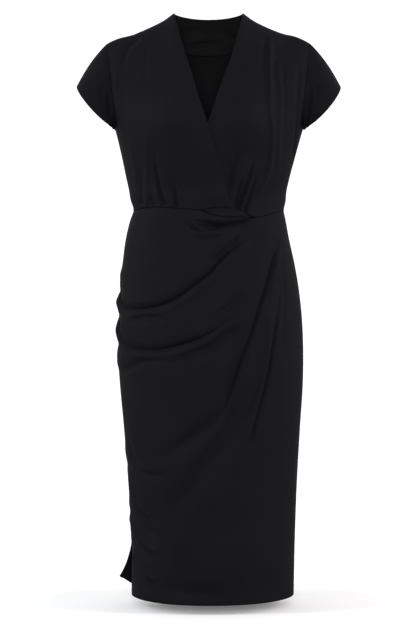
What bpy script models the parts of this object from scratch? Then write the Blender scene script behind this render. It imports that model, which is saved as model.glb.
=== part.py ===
"""A wrap-effect pencil dress in black stretch crepe, filled out as if worn, with nobody in it.

Metres, +Z up. The front faces -Y and the wearer's right is at -X. The origin is where the wearer's
shoulders hold the dress up: level with the two high shoulder points, midway between them.

Heights are written as drops: metres below the high shoulder points. "Turn" is the angle round the
body in degrees: 0 at the right side seam, 90 at the centre front, 180 at the left side seam and
270 at the centre back.
"""

from collections import namedtuple

import bpy
import numpy as np

# ---------------------------------------------------------------- driving dimensions, in metres
LENGTH = 1.107            # high shoulder point to hem
WAIST = 0.376             # ... to the waist seam at the side seams
UNDERARM = 0.2215         # ... to the bottom of the armhole
SHOULDER_REACH = 0.262    # ... to where the turn over the shoulder has died away
TIP_DROP = 0.0576         # ... to the shoulder tip, where the sleeve is set in
NAPE_DROP = 0.0046        # ... to the back neck edge at the centre
NECK_HALF = 0.066         # centre line to high shoulder point
TIP_HALF = 0.194          # centre line to shoulder tip
NECK_Y = 0.022            # how far back the high shoulder points lie
TIP_Y = 0.008             # ... the shoulder tips
SIDE_Y = 0.005            # ... the side seams
NAPE_Y = 0.072            # ... the back neck edge at the centre
FULLNESS = 2.25           # 2 makes a section an ellipse, more makes it boxier
SHOULDER_ROUND = 0.72     # below 1 the cloth turns over the shoulder in a round

WALL = 0.0020             # cloth with its seam turnings
FACING_WALL = 0.0012
SEAM_GAP = 0.0003         # between two pieces that are sewn together
SHOULDER_GAP = 0.00025    # each side of the shoulder seams, where the cloth turns over
SLEEVE_GAP = 0.0008       # round the armholes, where the walls meet at an angle
WRAP_CLEARANCE = 0.0014   # between the two wrap fronts, whose facets differ
FACING_CLEARANCE = 0.0006

COVER_FROM = 0.010        # the under front lies a layer deeper up to this far past the wrap edge,
COVER_TO = 0.045          # ... and is back on the surface here
TOP_UNFOLDED = 0.030      # a bodice fold starts to show over this length below the shoulder seam
WAIST_UNFOLDED = 0.012    # ... and dies away over this length above the waist seam
SKIRT_UNFOLDED = 0.010    # a skirt fold starts over this length below the waist seam
ROLL_PROUD = 0.0024       # the rolled edge of the drape stands out by this much where it sags,
ROLL_SAG = 0.010          # ... all of it once the edge hangs this far down,
ROLL_FLAT = 0.008         # ... from the edge to here,
ROLL_END = 0.030          # ... and none from here down

SLIT_TOP = 1.012          # drop at which the side slit opens
SWING_FULL = 1.152        # drop at which the free corner would reach its whole swing
CORNER_OUT = 0.0246       # the free corner of the back skirt swings out,
CORNER_BACK = 0.0134      # ... back
CORNER_UP = 0.0376        # ... and up
CORNER_REACH = 0.060      # over this much of the hem

# ---------------------------------------------------------------- how finely the cloth is cut up
ARMHOLE_STEPS = (0.0, 0.09, 0.1875, 0.33, 0.50, 0.66, 0.82, 0.93, 1.0)
SIDE_ROWS = 7
FRONT_COLUMNS = 14
BACK_COLUMNS = 18
SLEEVE_ROWS = 4
SKIRT_COLUMNS = 32
SKIRT_STEPS = (7, 17, 9)  # rows at the waist, through the drape and down to the hem
DRAPE_TOP = 0.105         # the drape's rows start at this share of the skirt's length
DRAPE_FOOT = 0.420        # ... and end here
SKIRT_BACK_COLUMNS = 16
SKIRT_BACK_STEPS = (2, 10, 6)
INSERT_COLUMNS = 9
FACING_ROWS = 2           # rows of the back panel that the neck facing covers
BACK_NECK_COLUMN = 6      # the column that ends at the first high shoulder point


def table(columns, *rows):
    """A short table as one array for each named column."""
    return dict(zip(columns.split(), np.array(rows, dtype=float).T))


# Half widths and depths of the filled-out dress. Above the underarm the half widths run on past the
# armhole, so that they carry the curve that the armhole is cut from.
BODY = table(
    "drop   right   left    front  back",
    (0.000, 0.2100, 0.2100, 0.100, 0.112),
    (0.060, 0.2100, 0.2100, 0.104, 0.112),
    (0.146, 0.2040, 0.2040, 0.112, 0.112),
    (UNDERARM, 0.1775, 0.1795, 0.122, 0.110),
    (0.275, 0.1644, 0.1644, 0.116, 0.106),
    (0.310, 0.1571, 0.1550, 0.109, 0.103),
    (0.344, 0.1495, 0.1473, 0.103, 0.101),
    (WAIST, 0.1425, 0.1432, 0.100, 0.100),
    (0.389, 0.1473, 0.1459, 0.102, 0.102),
    (0.4235, 0.1562, 0.1522, 0.107, 0.108),
    (0.4805, 0.1640, 0.1645, 0.114, 0.119),
    (0.526, 0.1695, 0.1721, 0.116, 0.126),
    (0.5715, 0.1720, 0.1771, 0.118, 0.131),
    (0.617, 0.1732, 0.1797, 0.118, 0.132),
    (0.697, 0.1690, 0.1797, 0.118, 0.129),
    (0.788, 0.1607, 0.1740, 0.118, 0.125),
    (0.8905, 0.1526, 0.1682, 0.118, 0.123),
    (0.9935, 0.1459, 0.1644, 0.118, 0.122),
    (LENGTH, 0.1462, 0.1620, 0.118, 0.122),
)
# Roundness on top of the sections, the same on both sides of the centre line.
SWELLS = table(
    "face across drop   wide   tall   height",
    (-1, 0.075, 0.219, 0.055, 0.070, 0.018),      # bust
    (+1, 0.078, 0.165, 0.050, 0.060, 0.004),      # shoulder blades
    (+1, 0.070, 0.610, 0.055, 0.075, 0.007),      # seat
)
SHOULDER = table(
    "across drop",
    (NECK_HALF, 0.0000),
    (0.084, 0.0107),
    (0.106, 0.0222),
    (0.123, 0.0298),
    (0.143, 0.0374),
    (0.171, 0.0451),
    (0.188, 0.0530),
    (TIP_HALF, TIP_DROP),
)
# Where the armhole is cut, as a share of the half width at that drop.
ARMHOLE = table(
    "drop  share",
    (TIP_DROP, 0.924),
    (0.084, 0.902),
    (0.102, 0.892),
    (0.152, 0.894),
    (0.190, 0.948),
    (UNDERARM, 1.000),
)
# Wrap edges, from the high shoulder points down to the waist seam.
RIGHT_EDGE = table(
    "drop  x",
    (0.000, -0.066),
    (0.066, -0.049),
    (0.128, -0.030),
    (0.177, -0.016),
    (0.217, -0.003),
    (0.289, 0.017),
    (0.361, 0.037),
    (0.374, 0.043),
)
LEFT_EDGE = table(
    "drop  x",
    (0.000, 0.066),
    (0.045, 0.055),
    (0.087, 0.044),
    (0.132, 0.028),
    (0.175, 0.013),
    (0.216, -0.001),
    (0.289, -0.020),
    (0.377, -0.044),
)
# The lower edge of the bodice across the front.
FRONT_WAIST = table(
    "x      drop",
    (-0.143, 0.3760),
    (-0.108, 0.3725),
    (-0.060, 0.3755),
    (-0.013, 0.3790),
    (0.013, 0.3750),
    (0.035, 0.3745),
    (0.061, 0.3800),
    (0.084, 0.3915),
    (0.119, 0.3835),
    (0.144, 0.3760),
)
# How far the rolled top of the drape sags away from that edge, left of the centre.
SAG = table(
    "x      depth",
    (-0.016, 0.0000),
    (0.013, 0.0155),
    (0.035, 0.0190),
    (0.061, 0.0130),
    (0.087, 0.0000),
)
SLEEVE = table(
    "x     y      drop",
    (0.2500, 0.005, 0.1386),                      # the end of the shoulder line
    (0.2190, -0.052, 0.1850),                     # foremost point of the hem
    (0.1835, 0.005, 0.2225),                      # under the arm
    (0.2210, 0.055, 0.1730),                      # rearmost point of the hem
)
SLEEVE_CROWN = 0.008      # the sleeve head bulges this far over the straight line to its hem

INSERT_FROM = -0.030      # the waist insert runs between these two places, behind the skirt's edge
INSERT_TO = 0.099
INSERT_TUCK = 0.004

# A fold is a trough along a route of (turn, drop) points, with a lip along its lower side. It dies
# away over the given share of the route at each end.
Fold = namedtuple("Fold", "route width depth lip fade_in fade_out")
SKIRT_FOLDS = (
    # the mouth of the rolled top edge
    Fold(((78, 0.400), (95, 0.406), (107, 0.408), (121, 0.401)), 0.0055, 0.0055, 0.002, 0.30, 0.30),
    # the upper swag, from the left of the waist down to the right side seam and round it
    Fold(((115, 0.420), (98, 0.472), (85, 0.507), (70, 0.540), (55, 0.555), (38, 0.561),
          (22, 0.557), (6, 0.541), (-8, 0.526), (-24, 0.512)), 0.0120, 0.0090, 0.007, 0.25, 0.12),
    # the lower swag
    Fold(((112, 0.540), (100, 0.573), (85, 0.616), (69, 0.629), (52, 0.638), (38, 0.635),
          (22, 0.618), (8, 0.594), (-6, 0.575), (-22, 0.560)), 0.0120, 0.0080, 0.006, 0.25, 0.12),
    # the long pleat that falls from the left side of the waist
    Fold(((149, 0.425), (134, 0.483), (125, 0.535), (117, 0.586), (111, 0.638), (105, 0.687),
          (98, 0.740), (88, 0.775), (76, 0.808), (62, 0.838)), 0.0170, 0.0085, -0.006, 0.18, 0.30),
    # the finer pleat beside it
    Fold(((158, 0.430), (141, 0.527), (134, 0.601), (128, 0.675), (121, 0.739), (112, 0.831)),
         0.0140, 0.0050, 0.003, 0.25, 0.30),
)
BODICE_FOLDS = (
    # right front: the pleat from the shoulder, and the two into the waist
    Fold(((52, 0.050), (46, 0.070), (43, 0.099), (40, 0.140)), 0.0095, 0.0035, 0.003, 0.25, 0.40),
    Fold(((50, 0.285), (54, 0.330), (58, 0.374)), 0.0090, 0.0045, -0.003, 0.45, 0.05),
    # left front: the long pleat from the shoulder to the waist, and the gathers beside the wrap edge
    Fold(((122, 0.050), (122, 0.111), (126, 0.190), (134, 0.260), (135, 0.308), (126, 0.365)),
         0.0095, 0.0040, -0.003, 0.12, 0.15),
    Fold(((119, 0.275), (116, 0.330), (111, 0.372)), 0.0085, 0.0045, -0.003, 0.40, 0.10),
)


# ---------------------------------------------------------------- the form of the filled-out dress
def smooth(at, knots, values):
    """A smooth curve through the points of a table, read at any place."""
    slopes = np.gradient(values, knots)
    span = np.clip(np.searchsorted(knots, at) - 1, 0, len(knots) - 2)
    step = knots[span + 1] - knots[span]
    t = np.clip((at - knots[span]) / step, 0.0, 1.0)
    start = (2 * t**3 - 3 * t**2 + 1) * values[span] + (t**3 - 2 * t**2 + t) * step * slopes[span]
    end = (3 * t**2 - 2 * t**3) * values[span + 1] + (t**3 - t**2) * step * slopes[span + 1]
    return start + end


def ramp(value, low, high):
    """0 below low, 1 above high, with a soft turn between."""
    t = np.clip((value - low) / (high - low), 0.0, 1.0)
    return t * t * (3 - 2 * t)


def half_width(x, drop):
    right = smooth(drop, BODY["drop"], BODY["right"])
    left = smooth(drop, BODY["drop"], BODY["left"])
    return np.where(x < 0, right, left)


def top_edge(x, face):
    """Drop and y of the line that the cloth starts from: the shoulder seams and the neck."""
    across = np.abs(x)
    drop = smooth(np.maximum(across, NECK_HALF), SHOULDER["across"], SHOULDER["drop"])
    y = np.interp(across, (NECK_HALF, TIP_HALF), (NECK_Y, TIP_Y))
    if face > 0:
        inside = np.clip(1 - (across / NECK_HALF) ** 2, 0.0, 1.0)
        drop = drop + NAPE_DROP * inside
        y = y + (NAPE_Y - NECK_Y) * np.sqrt(inside)
    return drop, y


def cloth_y(x, drop, face):
    """Y of the cloth's outer side: face -1 is the front and +1 the back."""
    share = np.clip(np.abs(x) / half_width(x, drop), 0.0, 1.0)
    roundness = (1 - share**2) ** (1 / FULLNESS)
    reach = smooth(drop, BODY["drop"], BODY["front" if face < 0 else "back"])
    y = SIDE_Y + (face * reach - SIDE_Y) * roundness
    for side, across, at, wide, tall, height in zip(*SWELLS.values()):
        if side == face:
            bump = np.exp(-(((np.abs(x) - across) / wide) ** 2) - ((drop - at) / tall) ** 2)
            y = y + face * height * bump * roundness
    edge_drop, edge_y = top_edge(x, face)
    down = np.clip((drop - edge_drop) / (SHOULDER_REACH - edge_drop), 0.0, 1.0)
    return edge_y + (y - edge_y) * (1 - (1 - down) ** 2) ** SHOULDER_ROUND


def on_body(turn, drop):
    """Points of the outer surface at the given turns and drops."""
    turn = np.mod(turn, 360.0)
    drop = np.asarray(drop, dtype=float)
    swing = -np.cos(np.radians(turn))
    x = swing * half_width(swing, drop)
    y = np.where(turn <= 180.0, cloth_y(x, drop, -1), cloth_y(x, drop, +1))
    return np.stack([x, y, -drop], axis=-1)


def turn_of(x, drop):
    """The turn of a point of the front, from its x."""
    return np.degrees(np.arccos(np.clip(-x / half_width(x, drop), -1.0, 1.0)))


def unit(vectors):
    return vectors / np.maximum(np.linalg.norm(vectors, axis=-1, keepdims=True), 1e-12)


def normals_of(points, closed=False):
    """Outward normals of a grid whose rows run down and whose columns run with the turn."""
    if closed:
        points = np.concatenate([points[:, -1:], points, points[:, :1]], axis=1)
    normals = unit(np.cross(np.gradient(points, axis=0), np.gradient(points, axis=1)))
    return normals[:, 1:-1] if closed else normals


# ---------------------------------------------------------------- folds
def fold_offsets(points, normals, folds):
    """How far the folds move each point of a grid along its normal."""
    total = np.zeros(points.shape[:2])
    for fold in folds:
        stops = np.linspace(0, 1, len(fold.route))
        t = np.linspace(0, 1, 60)
        turns, drops = np.array(fold.route, dtype=float).T
        route = on_body(smooth(t, stops, turns), smooth(t, stops, drops))
        along = unit(np.gradient(route, axis=0))
        apart = points[:, :, None, :] - route[None, None]
        nearest = np.argmin((apart**2).sum(axis=-1), axis=-1)
        away = points - route[nearest]
        across = unit(np.cross(along[nearest], normals))
        below = (away * across).sum(axis=-1) * across[..., 2] < 0
        side = np.linalg.norm(away, axis=-1) * np.where(below, 1.0, -1.0)
        reach = ramp(t, 0.0, fold.fade_in) * ramp(1 - t, 0.0, fold.fade_out)
        trough = -fold.depth * np.exp(-((side / fold.width) ** 2))
        lip_side = 2.1 * fold.width * np.sign(fold.lip)
        lip = abs(fold.lip) * np.exp(-(((side - lip_side) / (1.3 * fold.width)) ** 2))
        total += reach[nearest] * (trough + lip)
    return total


# ---------------------------------------------------------------- walls
def drawn_in(points, top=0.0, bottom=0.0, start=0.0, end=0.0):
    """The grid with its edges moved into the piece, to leave the gaps at its seams."""
    moved = points.copy()
    for amount, edge, inside in (
        (top, np.s_[0, :], np.s_[1, :]),
        (bottom, np.s_[-1, :], np.s_[-2, :]),
        (start, np.s_[:, 0], np.s_[:, 1]),
        (end, np.s_[:, -1], np.s_[:, -2]),
    ):
        moved[edge] += amount * unit(points[inside] - points[edge])
    return moved


def wall(name, outer, normals, closed=False, thickness=WALL):
    """A closed solid: the outer grid, the same grid moved in by the thickness, and the rims."""
    rows, columns = outer.shape[:2]
    inner = outer - thickness * normals
    vertices = np.concatenate([outer.reshape(-1, 3), inner.reshape(-1, 3)])
    out = np.arange(rows * columns).reshape(rows, columns)
    if closed:
        out = np.concatenate([out, out[:, :1]], axis=1)
    back = out + rows * columns

    def strips(a, b, c, d):
        return np.stack([a.ravel(), b.ravel(), c.ravel(), d.ravel()], axis=1)

    faces = [
        strips(out[:-1, :-1], out[1:, :-1], out[1:, 1:], out[:-1, 1:]),
        strips(back[:-1, :-1], back[:-1, 1:], back[1:, 1:], back[1:, :-1]),
        strips(out[0, :-1], out[0, 1:], back[0, 1:], back[0, :-1]),
        strips(out[-1, 1:], out[-1, :-1], back[-1, :-1], back[-1, 1:]),
    ]
    if not closed:
        faces.append(strips(out[1:, 0], out[:-1, 0], back[:-1, 0], back[1:, 0]))
        faces.append(strips(out[:-1, -1], out[1:, -1], back[1:, -1], back[:-1, -1]))
    mesh = bpy.data.meshes.new(name)
    mesh.from_pydata(vertices.tolist(), [], np.concatenate(faces).tolist())
    mesh.validate()
    mesh.shade_smooth()
    mesh.set_sharp_from_angle(angle=np.radians(50))
    mesh.materials.append(crepe())
    piece = bpy.data.objects.new(name, mesh)
    bpy.context.scene.collection.objects.link(piece)
    return piece


def crepe():
    """Black stretch crepe, matt."""
    name = "black_crepe"
    material = bpy.data.materials.get(name)
    if material is None:
        material = bpy.data.materials.new(name)
        material.use_nodes = True
        shader = material.node_tree.nodes["Principled BSDF"]
        shader.inputs["Base Color"].default_value = (0.0115, 0.0115, 0.0135, 1.0)
        shader.inputs["Roughness"].default_value = 0.85
        shader.inputs["Metallic"].default_value = 0.0
    return material


# ---------------------------------------------------------------- the bodice
def outer_drops():
    """Drops of the bodice's rows where they meet the armhole and the side seam."""
    armhole = TIP_DROP + (UNDERARM - TIP_DROP) * np.sin(np.array(ARMHOLE_STEPS) * np.pi / 2)
    side = np.linspace(UNDERARM, WAIST, SIDE_ROWS + 1)[1:]
    return np.concatenate([armhole, side])


def armhole_turn(drops, side):
    """How far round from the side seam the armhole is cut; side is -1 on the wearer's right."""
    share = np.where(drops < UNDERARM, smooth(drops, ARMHOLE["drop"], ARMHOLE["share"]), 1.0)
    return turn_of(side * share * half_width(np.full_like(drops, side), drops), drops)


def row_shares():
    """How far down the bodice each row lies, by the length of the armhole and the side seam."""
    drops = outer_drops()
    edge = on_body(armhole_turn(drops, -1), drops)
    steps = np.linalg.norm(np.diff(edge, axis=0), axis=-1)
    return np.concatenate([[0.0], np.cumsum(steps)]) / steps.sum()


def between(first, last, shares):
    """Rows of values from those at a panel's first edge to those at its last."""
    return first[:, None] + (last - first)[:, None] * shares


def back_shares(hole_turn):
    """Places of the back's columns across it, two of them at the high shoulder points."""
    neck = (turn_of(-NECK_HALF, 0.0) - hole_turn) / (180 - 2 * hole_turn)
    columns = (0, BACK_NECK_COLUMN, BACK_COLUMNS - BACK_NECK_COLUMN, BACK_COLUMNS)
    return np.interp(np.arange(BACK_COLUMNS + 1), columns, (0, neck, 1 - neck, 1))


def bodice_grid(turns, drops, face, bottom):
    """Points of a bodice panel, fitted to the shoulder line above and to the waist seam below."""
    share = row_shares()[:, None]
    swing = -np.cos(np.radians(turns))
    top_x = swing[0] * half_width(swing[0], drops[0])
    drops = drops + (1 - share) ** 2 * (top_edge(top_x, face)[0] - drops[0])
    drops = drops + share**3 * (waist_line(swing[-1], bottom) - drops[-1])
    return on_body(turns, drops)


def front_bottom(x):
    return smooth(x, FRONT_WAIST["x"], FRONT_WAIST["drop"])


def skirt_top(x):
    return front_bottom(x) + np.maximum(smooth(x, SAG["x"], SAG["depth"]), 0.0)


def level_waist(x):
    return np.full_like(x, WAIST)


def waist_line(swing, level):
    """Drops of a waist edge at the given cosines of the turn, each read at its own x."""
    drops = np.full_like(swing, WAIST)
    for _ in range(6):
        drops = level(swing * half_width(swing, drops))
    return drops


def edge_rows(edge):
    """Drops and turns of a wrap edge at the bodice's rows."""
    drops = row_shares() * edge["drop"][-1]
    return drops, turn_of(smooth(drops, edge["drop"], edge["x"]), drops)


def flatten_seam(normals, where):
    """Seams that two pieces share lie across y there, so both get a normal with no y in it."""
    normals[where][..., 1] = 0.0
    normals[where] = unit(normals[where])


def fold_bodice(points, covered=None):
    """Moves the panel's points out and in along its folds, and not at its seams."""
    normals = normals_of(points)
    drops = -points[..., 2]
    away = ramp(drops - drops[:1], 0.0, TOP_UNFOLDED)
    away = away * ramp(drops[-1:] - drops, 0.0, WAIST_UNFOLDED)
    if covered is not None:
        away = away * (1 - covered)
    offsets = fold_offsets(points, normals, BODICE_FOLDS) * away
    return points + offsets[..., None] * normals


def bodice():
    """The two wrap fronts and the back, as grids of points with their normals."""
    drops = outer_drops()
    right_hole = armhole_turn(drops, -1)
    left_hole = armhole_turn(drops, +1)
    over_drops, over_turns = edge_rows(RIGHT_EDGE)
    under_drops, under_turns = edge_rows(LEFT_EDGE)

    even = np.linspace(0, 1, FRONT_COLUMNS + 1)
    over = bodice_grid(between(right_hole, over_turns, even),
                       between(drops, over_drops, even), -1, front_bottom)
    under = bodice_grid(between(under_turns, left_hole, even),
                        between(under_drops, drops, even), -1, front_bottom)
    across = back_shares(right_hole[0])
    spine = NAPE_DROP + row_shares() * (WAIST - NAPE_DROP)
    back = bodice_grid(between(360 - left_hole, 360 - right_hole, across),
                       drops[:, None] + (spine - drops)[:, None] * np.sin(np.pi * across),
                       +1, level_waist)

    over = fold_bodice(over)
    past_edge = under[..., 0] - smooth(-under[..., 2], RIGHT_EDGE["drop"], RIGHT_EDGE["x"])
    covered = 1 - ramp(past_edge, COVER_FROM, COVER_TO)
    under = fold_bodice(under, covered)
    under = under - (covered * (WALL + WRAP_CLEARANCE))[..., None] * normals_of(under)

    pieces = {"over": over, "under": under, "back": back}
    normals = {name: normals_of(points) for name, points in pieces.items()}
    for panel in normals.values():
        flatten_seam(panel, np.s_[0, :])
    for panel, column in (("over", 0), ("under", -1), ("back", 0), ("back", -1)):
        flatten_seam(normals[panel], np.s_[len(ARMHOLE_STEPS) - 1:, column])
    return pieces, normals


def sleeve_grid(side, front, back):
    """A cap sleeve, from the armhole's points (tip to underarm, front and back) to its hem."""
    ring = np.concatenate([front, back[-2:0:-1]])
    steps = np.array(ARMHOLE_STEPS) * np.pi
    top, fore, under, rear = np.stack([side * SLEEVE["x"], SLEEVE["y"], -SLEEVE["drop"]], axis=1)
    middle = (top + under) / 2
    halves = []
    for extreme in (fore, rear):
        swing = np.cos(steps)[:, None] * (top - middle) + np.sin(steps)[:, None] * (extreme - middle)
        halves.append(middle + swing)
    hem = np.concatenate([halves[0], halves[1][-2:0:-1]])
    turn = np.concatenate([steps, 2 * np.pi - steps[-2:0:-1]])
    w = np.linspace(0, 1, SLEEVE_ROWS + 1)[:, None, None]
    points = ring + (hem - ring) * w
    crown = SLEEVE_CROWN * (0.5 + 0.5 * np.cos(turn)) ** 0.7
    if side > 0:
        points = np.concatenate([points[:, :1], points[:, :0:-1]], axis=1)
        crown = np.concatenate([crown[:1], crown[:0:-1]])
    bulge = 4 * w * (1 - w) * crown[:, None]
    return points + bulge * normals_of(points, closed=True)


def build_top():
    pieces, normals = bodice()
    last = len(ARMHOLE_STEPS)
    for side, name, front, back, column in (
        (-1, "sleeve_right", "over", "back", (0, -1)),
        (+1, "sleeve_left", "under", "back", (-1, 0)),
    ):
        fore = np.s_[:last, column[0]]
        aft = np.s_[:last, column[1]]
        sleeve = sleeve_grid(side, pieces[front][fore], pieces[back][aft])
        sleeve_normals = normals_of(sleeve, closed=True)
        ring = np.concatenate([normals[front][fore], normals[back][aft][-2:0:-1]])
        ring[0][1] = 0.0
        ring[last - 1][1] = 0.0
        if side > 0:
            ring = np.concatenate([ring[:1], ring[:0:-1]])
        mitre = unit(unit(ring) + sleeve_normals[0])
        sleeve_normals[0] = mitre
        if side > 0:
            mitre = np.concatenate([mitre[:1], mitre[:0:-1]])
        for corner in (0, last - 1):
            mitre[corner][1] = 0.0
            mitre[corner] = unit(mitre[corner])
        normals[front][fore] = mitre[:last]
        normals[back][aft] = np.concatenate([mitre[:1], mitre[:last - 2:-1]])
        wall(name, drawn_in(sleeve, top=SLEEVE_GAP), sleeve_normals, closed=True)

    half_gap = SEAM_GAP / 2
    over = drawn_in(pieces["over"], SHOULDER_GAP, half_gap, start=half_gap)
    under = drawn_in(pieces["under"], SHOULDER_GAP, half_gap, end=half_gap)
    back = drawn_in(pieces["back"], SHOULDER_GAP, half_gap, half_gap, half_gap)
    wall("bodice_front_right", over, normals["over"])
    wall("bodice_front_left", under, normals["under"])
    wall("bodice_back", back, normals["back"])

    covered = np.s_[:FACING_ROWS + 1, BACK_NECK_COLUMN:BACK_COLUMNS - BACK_NECK_COLUMN + 1]
    inside = back[covered] - (WALL + FACING_CLEARANCE) * normals["back"][covered]
    wall("back_neck_facing", inside, normals["back"][covered], thickness=FACING_WALL)


# ---------------------------------------------------------------- the skirt
def skirt_rows(steps):
    """Shares of the skirt's length at its rows, closer where the drape folds."""
    waist, drape, hem = steps
    return np.concatenate([
        DRAPE_TOP * np.linspace(0, 1, waist + 1)[:-1] ** 1.3,
        np.linspace(DRAPE_TOP, DRAPE_FOOT, drape + 1),
        np.linspace(DRAPE_FOOT, 1.0, hem + 1)[1:],
    ])


def skirt_grid(turns, top, rows):
    drops = top + (LENGTH - top) * rows[:, None]
    return on_body(np.broadcast_to(turns, drops.shape), drops)


def skirt_normals(points):
    normals = normals_of(points)
    flatten_seam(normals, np.s_[:, 0])
    flatten_seam(normals, np.s_[:, -1])
    return normals


def folded_skirt(points):
    normals = skirt_normals(points)
    drops = -points[..., 2]
    away = ramp(drops - drops[:1], 0.0, SKIRT_UNFOLDED)
    offsets = fold_offsets(points, normals, SKIRT_FOLDS) * away
    return points + offsets[..., None] * normals


def build_skirt():
    half_gap = SEAM_GAP / 2
    turns = np.linspace(0, 180, SKIRT_COLUMNS + 1)
    swing = -np.cos(np.radians(turns))
    top = waist_line(swing, skirt_top)
    front = folded_skirt(skirt_grid(turns, top, skirt_rows(SKIRT_STEPS)))
    # the rolled edge stands proud where it hangs away from the bodice
    sag = top - front_bottom(front[0, :, 0])
    below_edge = -front[..., 2] - top
    roll = ROLL_PROUD * ramp(sag, 0.0, ROLL_SAG) * (1 - ramp(below_edge, ROLL_FLAT, ROLL_END))
    front = front + roll[..., None] * normals_of(front)
    wall("skirt_front", drawn_in(front, top=SEAM_GAP, start=half_gap, end=half_gap),
         skirt_normals(front))

    turns = np.linspace(180, 360, SKIRT_BACK_COLUMNS + 1)
    back = folded_skirt(skirt_grid(turns, np.full_like(turns, WAIST), skirt_rows(SKIRT_BACK_STEPS)))
    # the free corner beside the slit
    down = ramp(-back[..., 2], SLIT_TOP, SWING_FULL)
    from_corner = np.linalg.norm(back[-1] - back[-1, -1], axis=-1)
    swing = down * (1 - ramp(from_corner, 0.0, CORNER_REACH))
    back = back + swing[..., None] * np.array([-CORNER_OUT, CORNER_BACK, 0.0])
    back[..., 2] += CORNER_UP * swing**2
    wall("skirt_back", drawn_in(back, top=half_gap, start=half_gap, end=half_gap),
         skirt_normals(back))

    across = np.linspace(INSERT_FROM, INSERT_TO, INSERT_COLUMNS + 1)
    top = front_bottom(across) + SEAM_GAP
    drops = np.linspace(top, skirt_top(across) + INSERT_TUCK, 4)
    insert = on_body(turn_of(across, drops), drops)
    insert = insert - (WALL + WRAP_CLEARANCE) * normals_of(insert)
    wall("waist_insert", insert, normals_of(insert), thickness=FACING_WALL)


for leftover in list(bpy.data.objects):
    bpy.data.objects.remove(leftover, do_unlink=True)
build_top()
build_skirt()
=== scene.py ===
# %% [markdown]
# # A wrap-effect pencil dress in black stretch crepe
#
# This lesson dresses a plain model of the garment in real-looking cloth. The frame holds the true
# sizes: every panel below is cut flat, given a point wherever it will crease, laid on the form of the
# filled-out dress, creased, and then thickened. Cloth could also be dropped on a body by
# simulation, but a fitted dress hangs in a few folds that its maker decides, so placing them one by
# one gives the folds that this dress has.

# %% Load the frame
from collections import namedtuple

import bpy
import numpy as np
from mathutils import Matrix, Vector
from mathutils.kdtree import KDTree


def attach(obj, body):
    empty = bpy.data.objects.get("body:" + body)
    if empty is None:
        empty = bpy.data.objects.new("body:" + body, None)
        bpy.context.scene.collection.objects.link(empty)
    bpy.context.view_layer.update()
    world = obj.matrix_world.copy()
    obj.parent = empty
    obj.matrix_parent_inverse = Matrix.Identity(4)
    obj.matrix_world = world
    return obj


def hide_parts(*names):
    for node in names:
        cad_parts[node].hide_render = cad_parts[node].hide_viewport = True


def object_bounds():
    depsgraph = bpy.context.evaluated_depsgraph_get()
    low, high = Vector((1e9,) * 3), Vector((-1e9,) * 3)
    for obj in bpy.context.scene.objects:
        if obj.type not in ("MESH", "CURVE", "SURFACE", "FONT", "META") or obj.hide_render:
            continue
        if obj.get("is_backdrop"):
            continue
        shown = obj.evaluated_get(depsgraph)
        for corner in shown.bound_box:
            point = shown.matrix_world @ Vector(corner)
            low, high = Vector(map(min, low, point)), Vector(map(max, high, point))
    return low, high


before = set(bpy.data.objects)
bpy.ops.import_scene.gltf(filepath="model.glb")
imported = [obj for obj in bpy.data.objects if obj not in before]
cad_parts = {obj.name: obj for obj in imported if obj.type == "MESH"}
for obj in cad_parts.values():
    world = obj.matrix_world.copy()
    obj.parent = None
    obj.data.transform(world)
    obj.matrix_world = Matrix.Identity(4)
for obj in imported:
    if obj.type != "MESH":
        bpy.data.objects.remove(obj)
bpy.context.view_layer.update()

# %% [markdown]
# ## The camera
#
# The photograph was taken level, from straight in front, at about mid-height. The camera stands
# 3.5 m away, and in the plane of the shoulders one pixel of the photograph is 1.9 mm.

# %% Camera
EYE_DISTANCE = 3.5
EYE_DROP = 0.5679          # below the high shoulder points
EYE_SIDE = 0.0009          # towards the wearer's right
PHOTO_ROWS = 624
PIXEL = 0.0019

bpy.ops.object.select_all(action="DESELECT")
bpy.ops.object.camera_add(location=(-EYE_SIDE, -EYE_DISTANCE, -EYE_DROP), rotation=(np.pi / 2, 0, 0))
camera = bpy.context.object
camera.data.sensor_width = 36
camera.data.lens = camera.data.sensor_width * EYE_DISTANCE / (PHOTO_ROWS * PIXEL)
bpy.context.scene.camera = camera
print("lens", round(camera.data.lens, 1), "mm")

# %% [markdown]
# ## The form under the cloth
#
# A dress that is filled out as if worn is a stack of rounded sections. Each has a half width on the
# wearer's right and left and a depth in front and behind, and a smooth curve joins them. Heights are
# drops in metres below the high shoulder points. A "turn" is the angle round the body in degrees: 0
# at the right side seam, 90 at the centre front, 180 at the left side seam and 270 at the back. The
# tables hold the garment's own sizes. They are the frame's, except that the bust and the armhole
# differ by a few millimetres and the slit's corner by about a centimetre, as a second look at the
# photograph showed.

# %% Sizes of the dress, in metres
LENGTH = 1.107
WAIST = 0.376
UNDERARM = 0.2215
SHOULDER_REACH = 0.262
TIP_DROP = 0.0576
NAPE_DROP = 0.0046
NECK_HALF = 0.066
TIP_HALF = 0.194
NECK_Y = 0.022
TIP_Y = 0.008
SIDE_Y = 0.005
NAPE_Y = 0.072
FULLNESS = 2.25
SHOULDER_ROUND = 0.72
LEFT_LIFT = 0.0021         # the wearer's left shoulder is fuller than the right one,
LIFT_X = 0.158             # ... most of all here,
LIFT_WIDE = 0.026          # ... and within this reach of it


def table(columns, *rows):
    """A short table as one array for each named column."""
    return dict(zip(columns.split(), np.array(rows, dtype=float).T))


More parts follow.
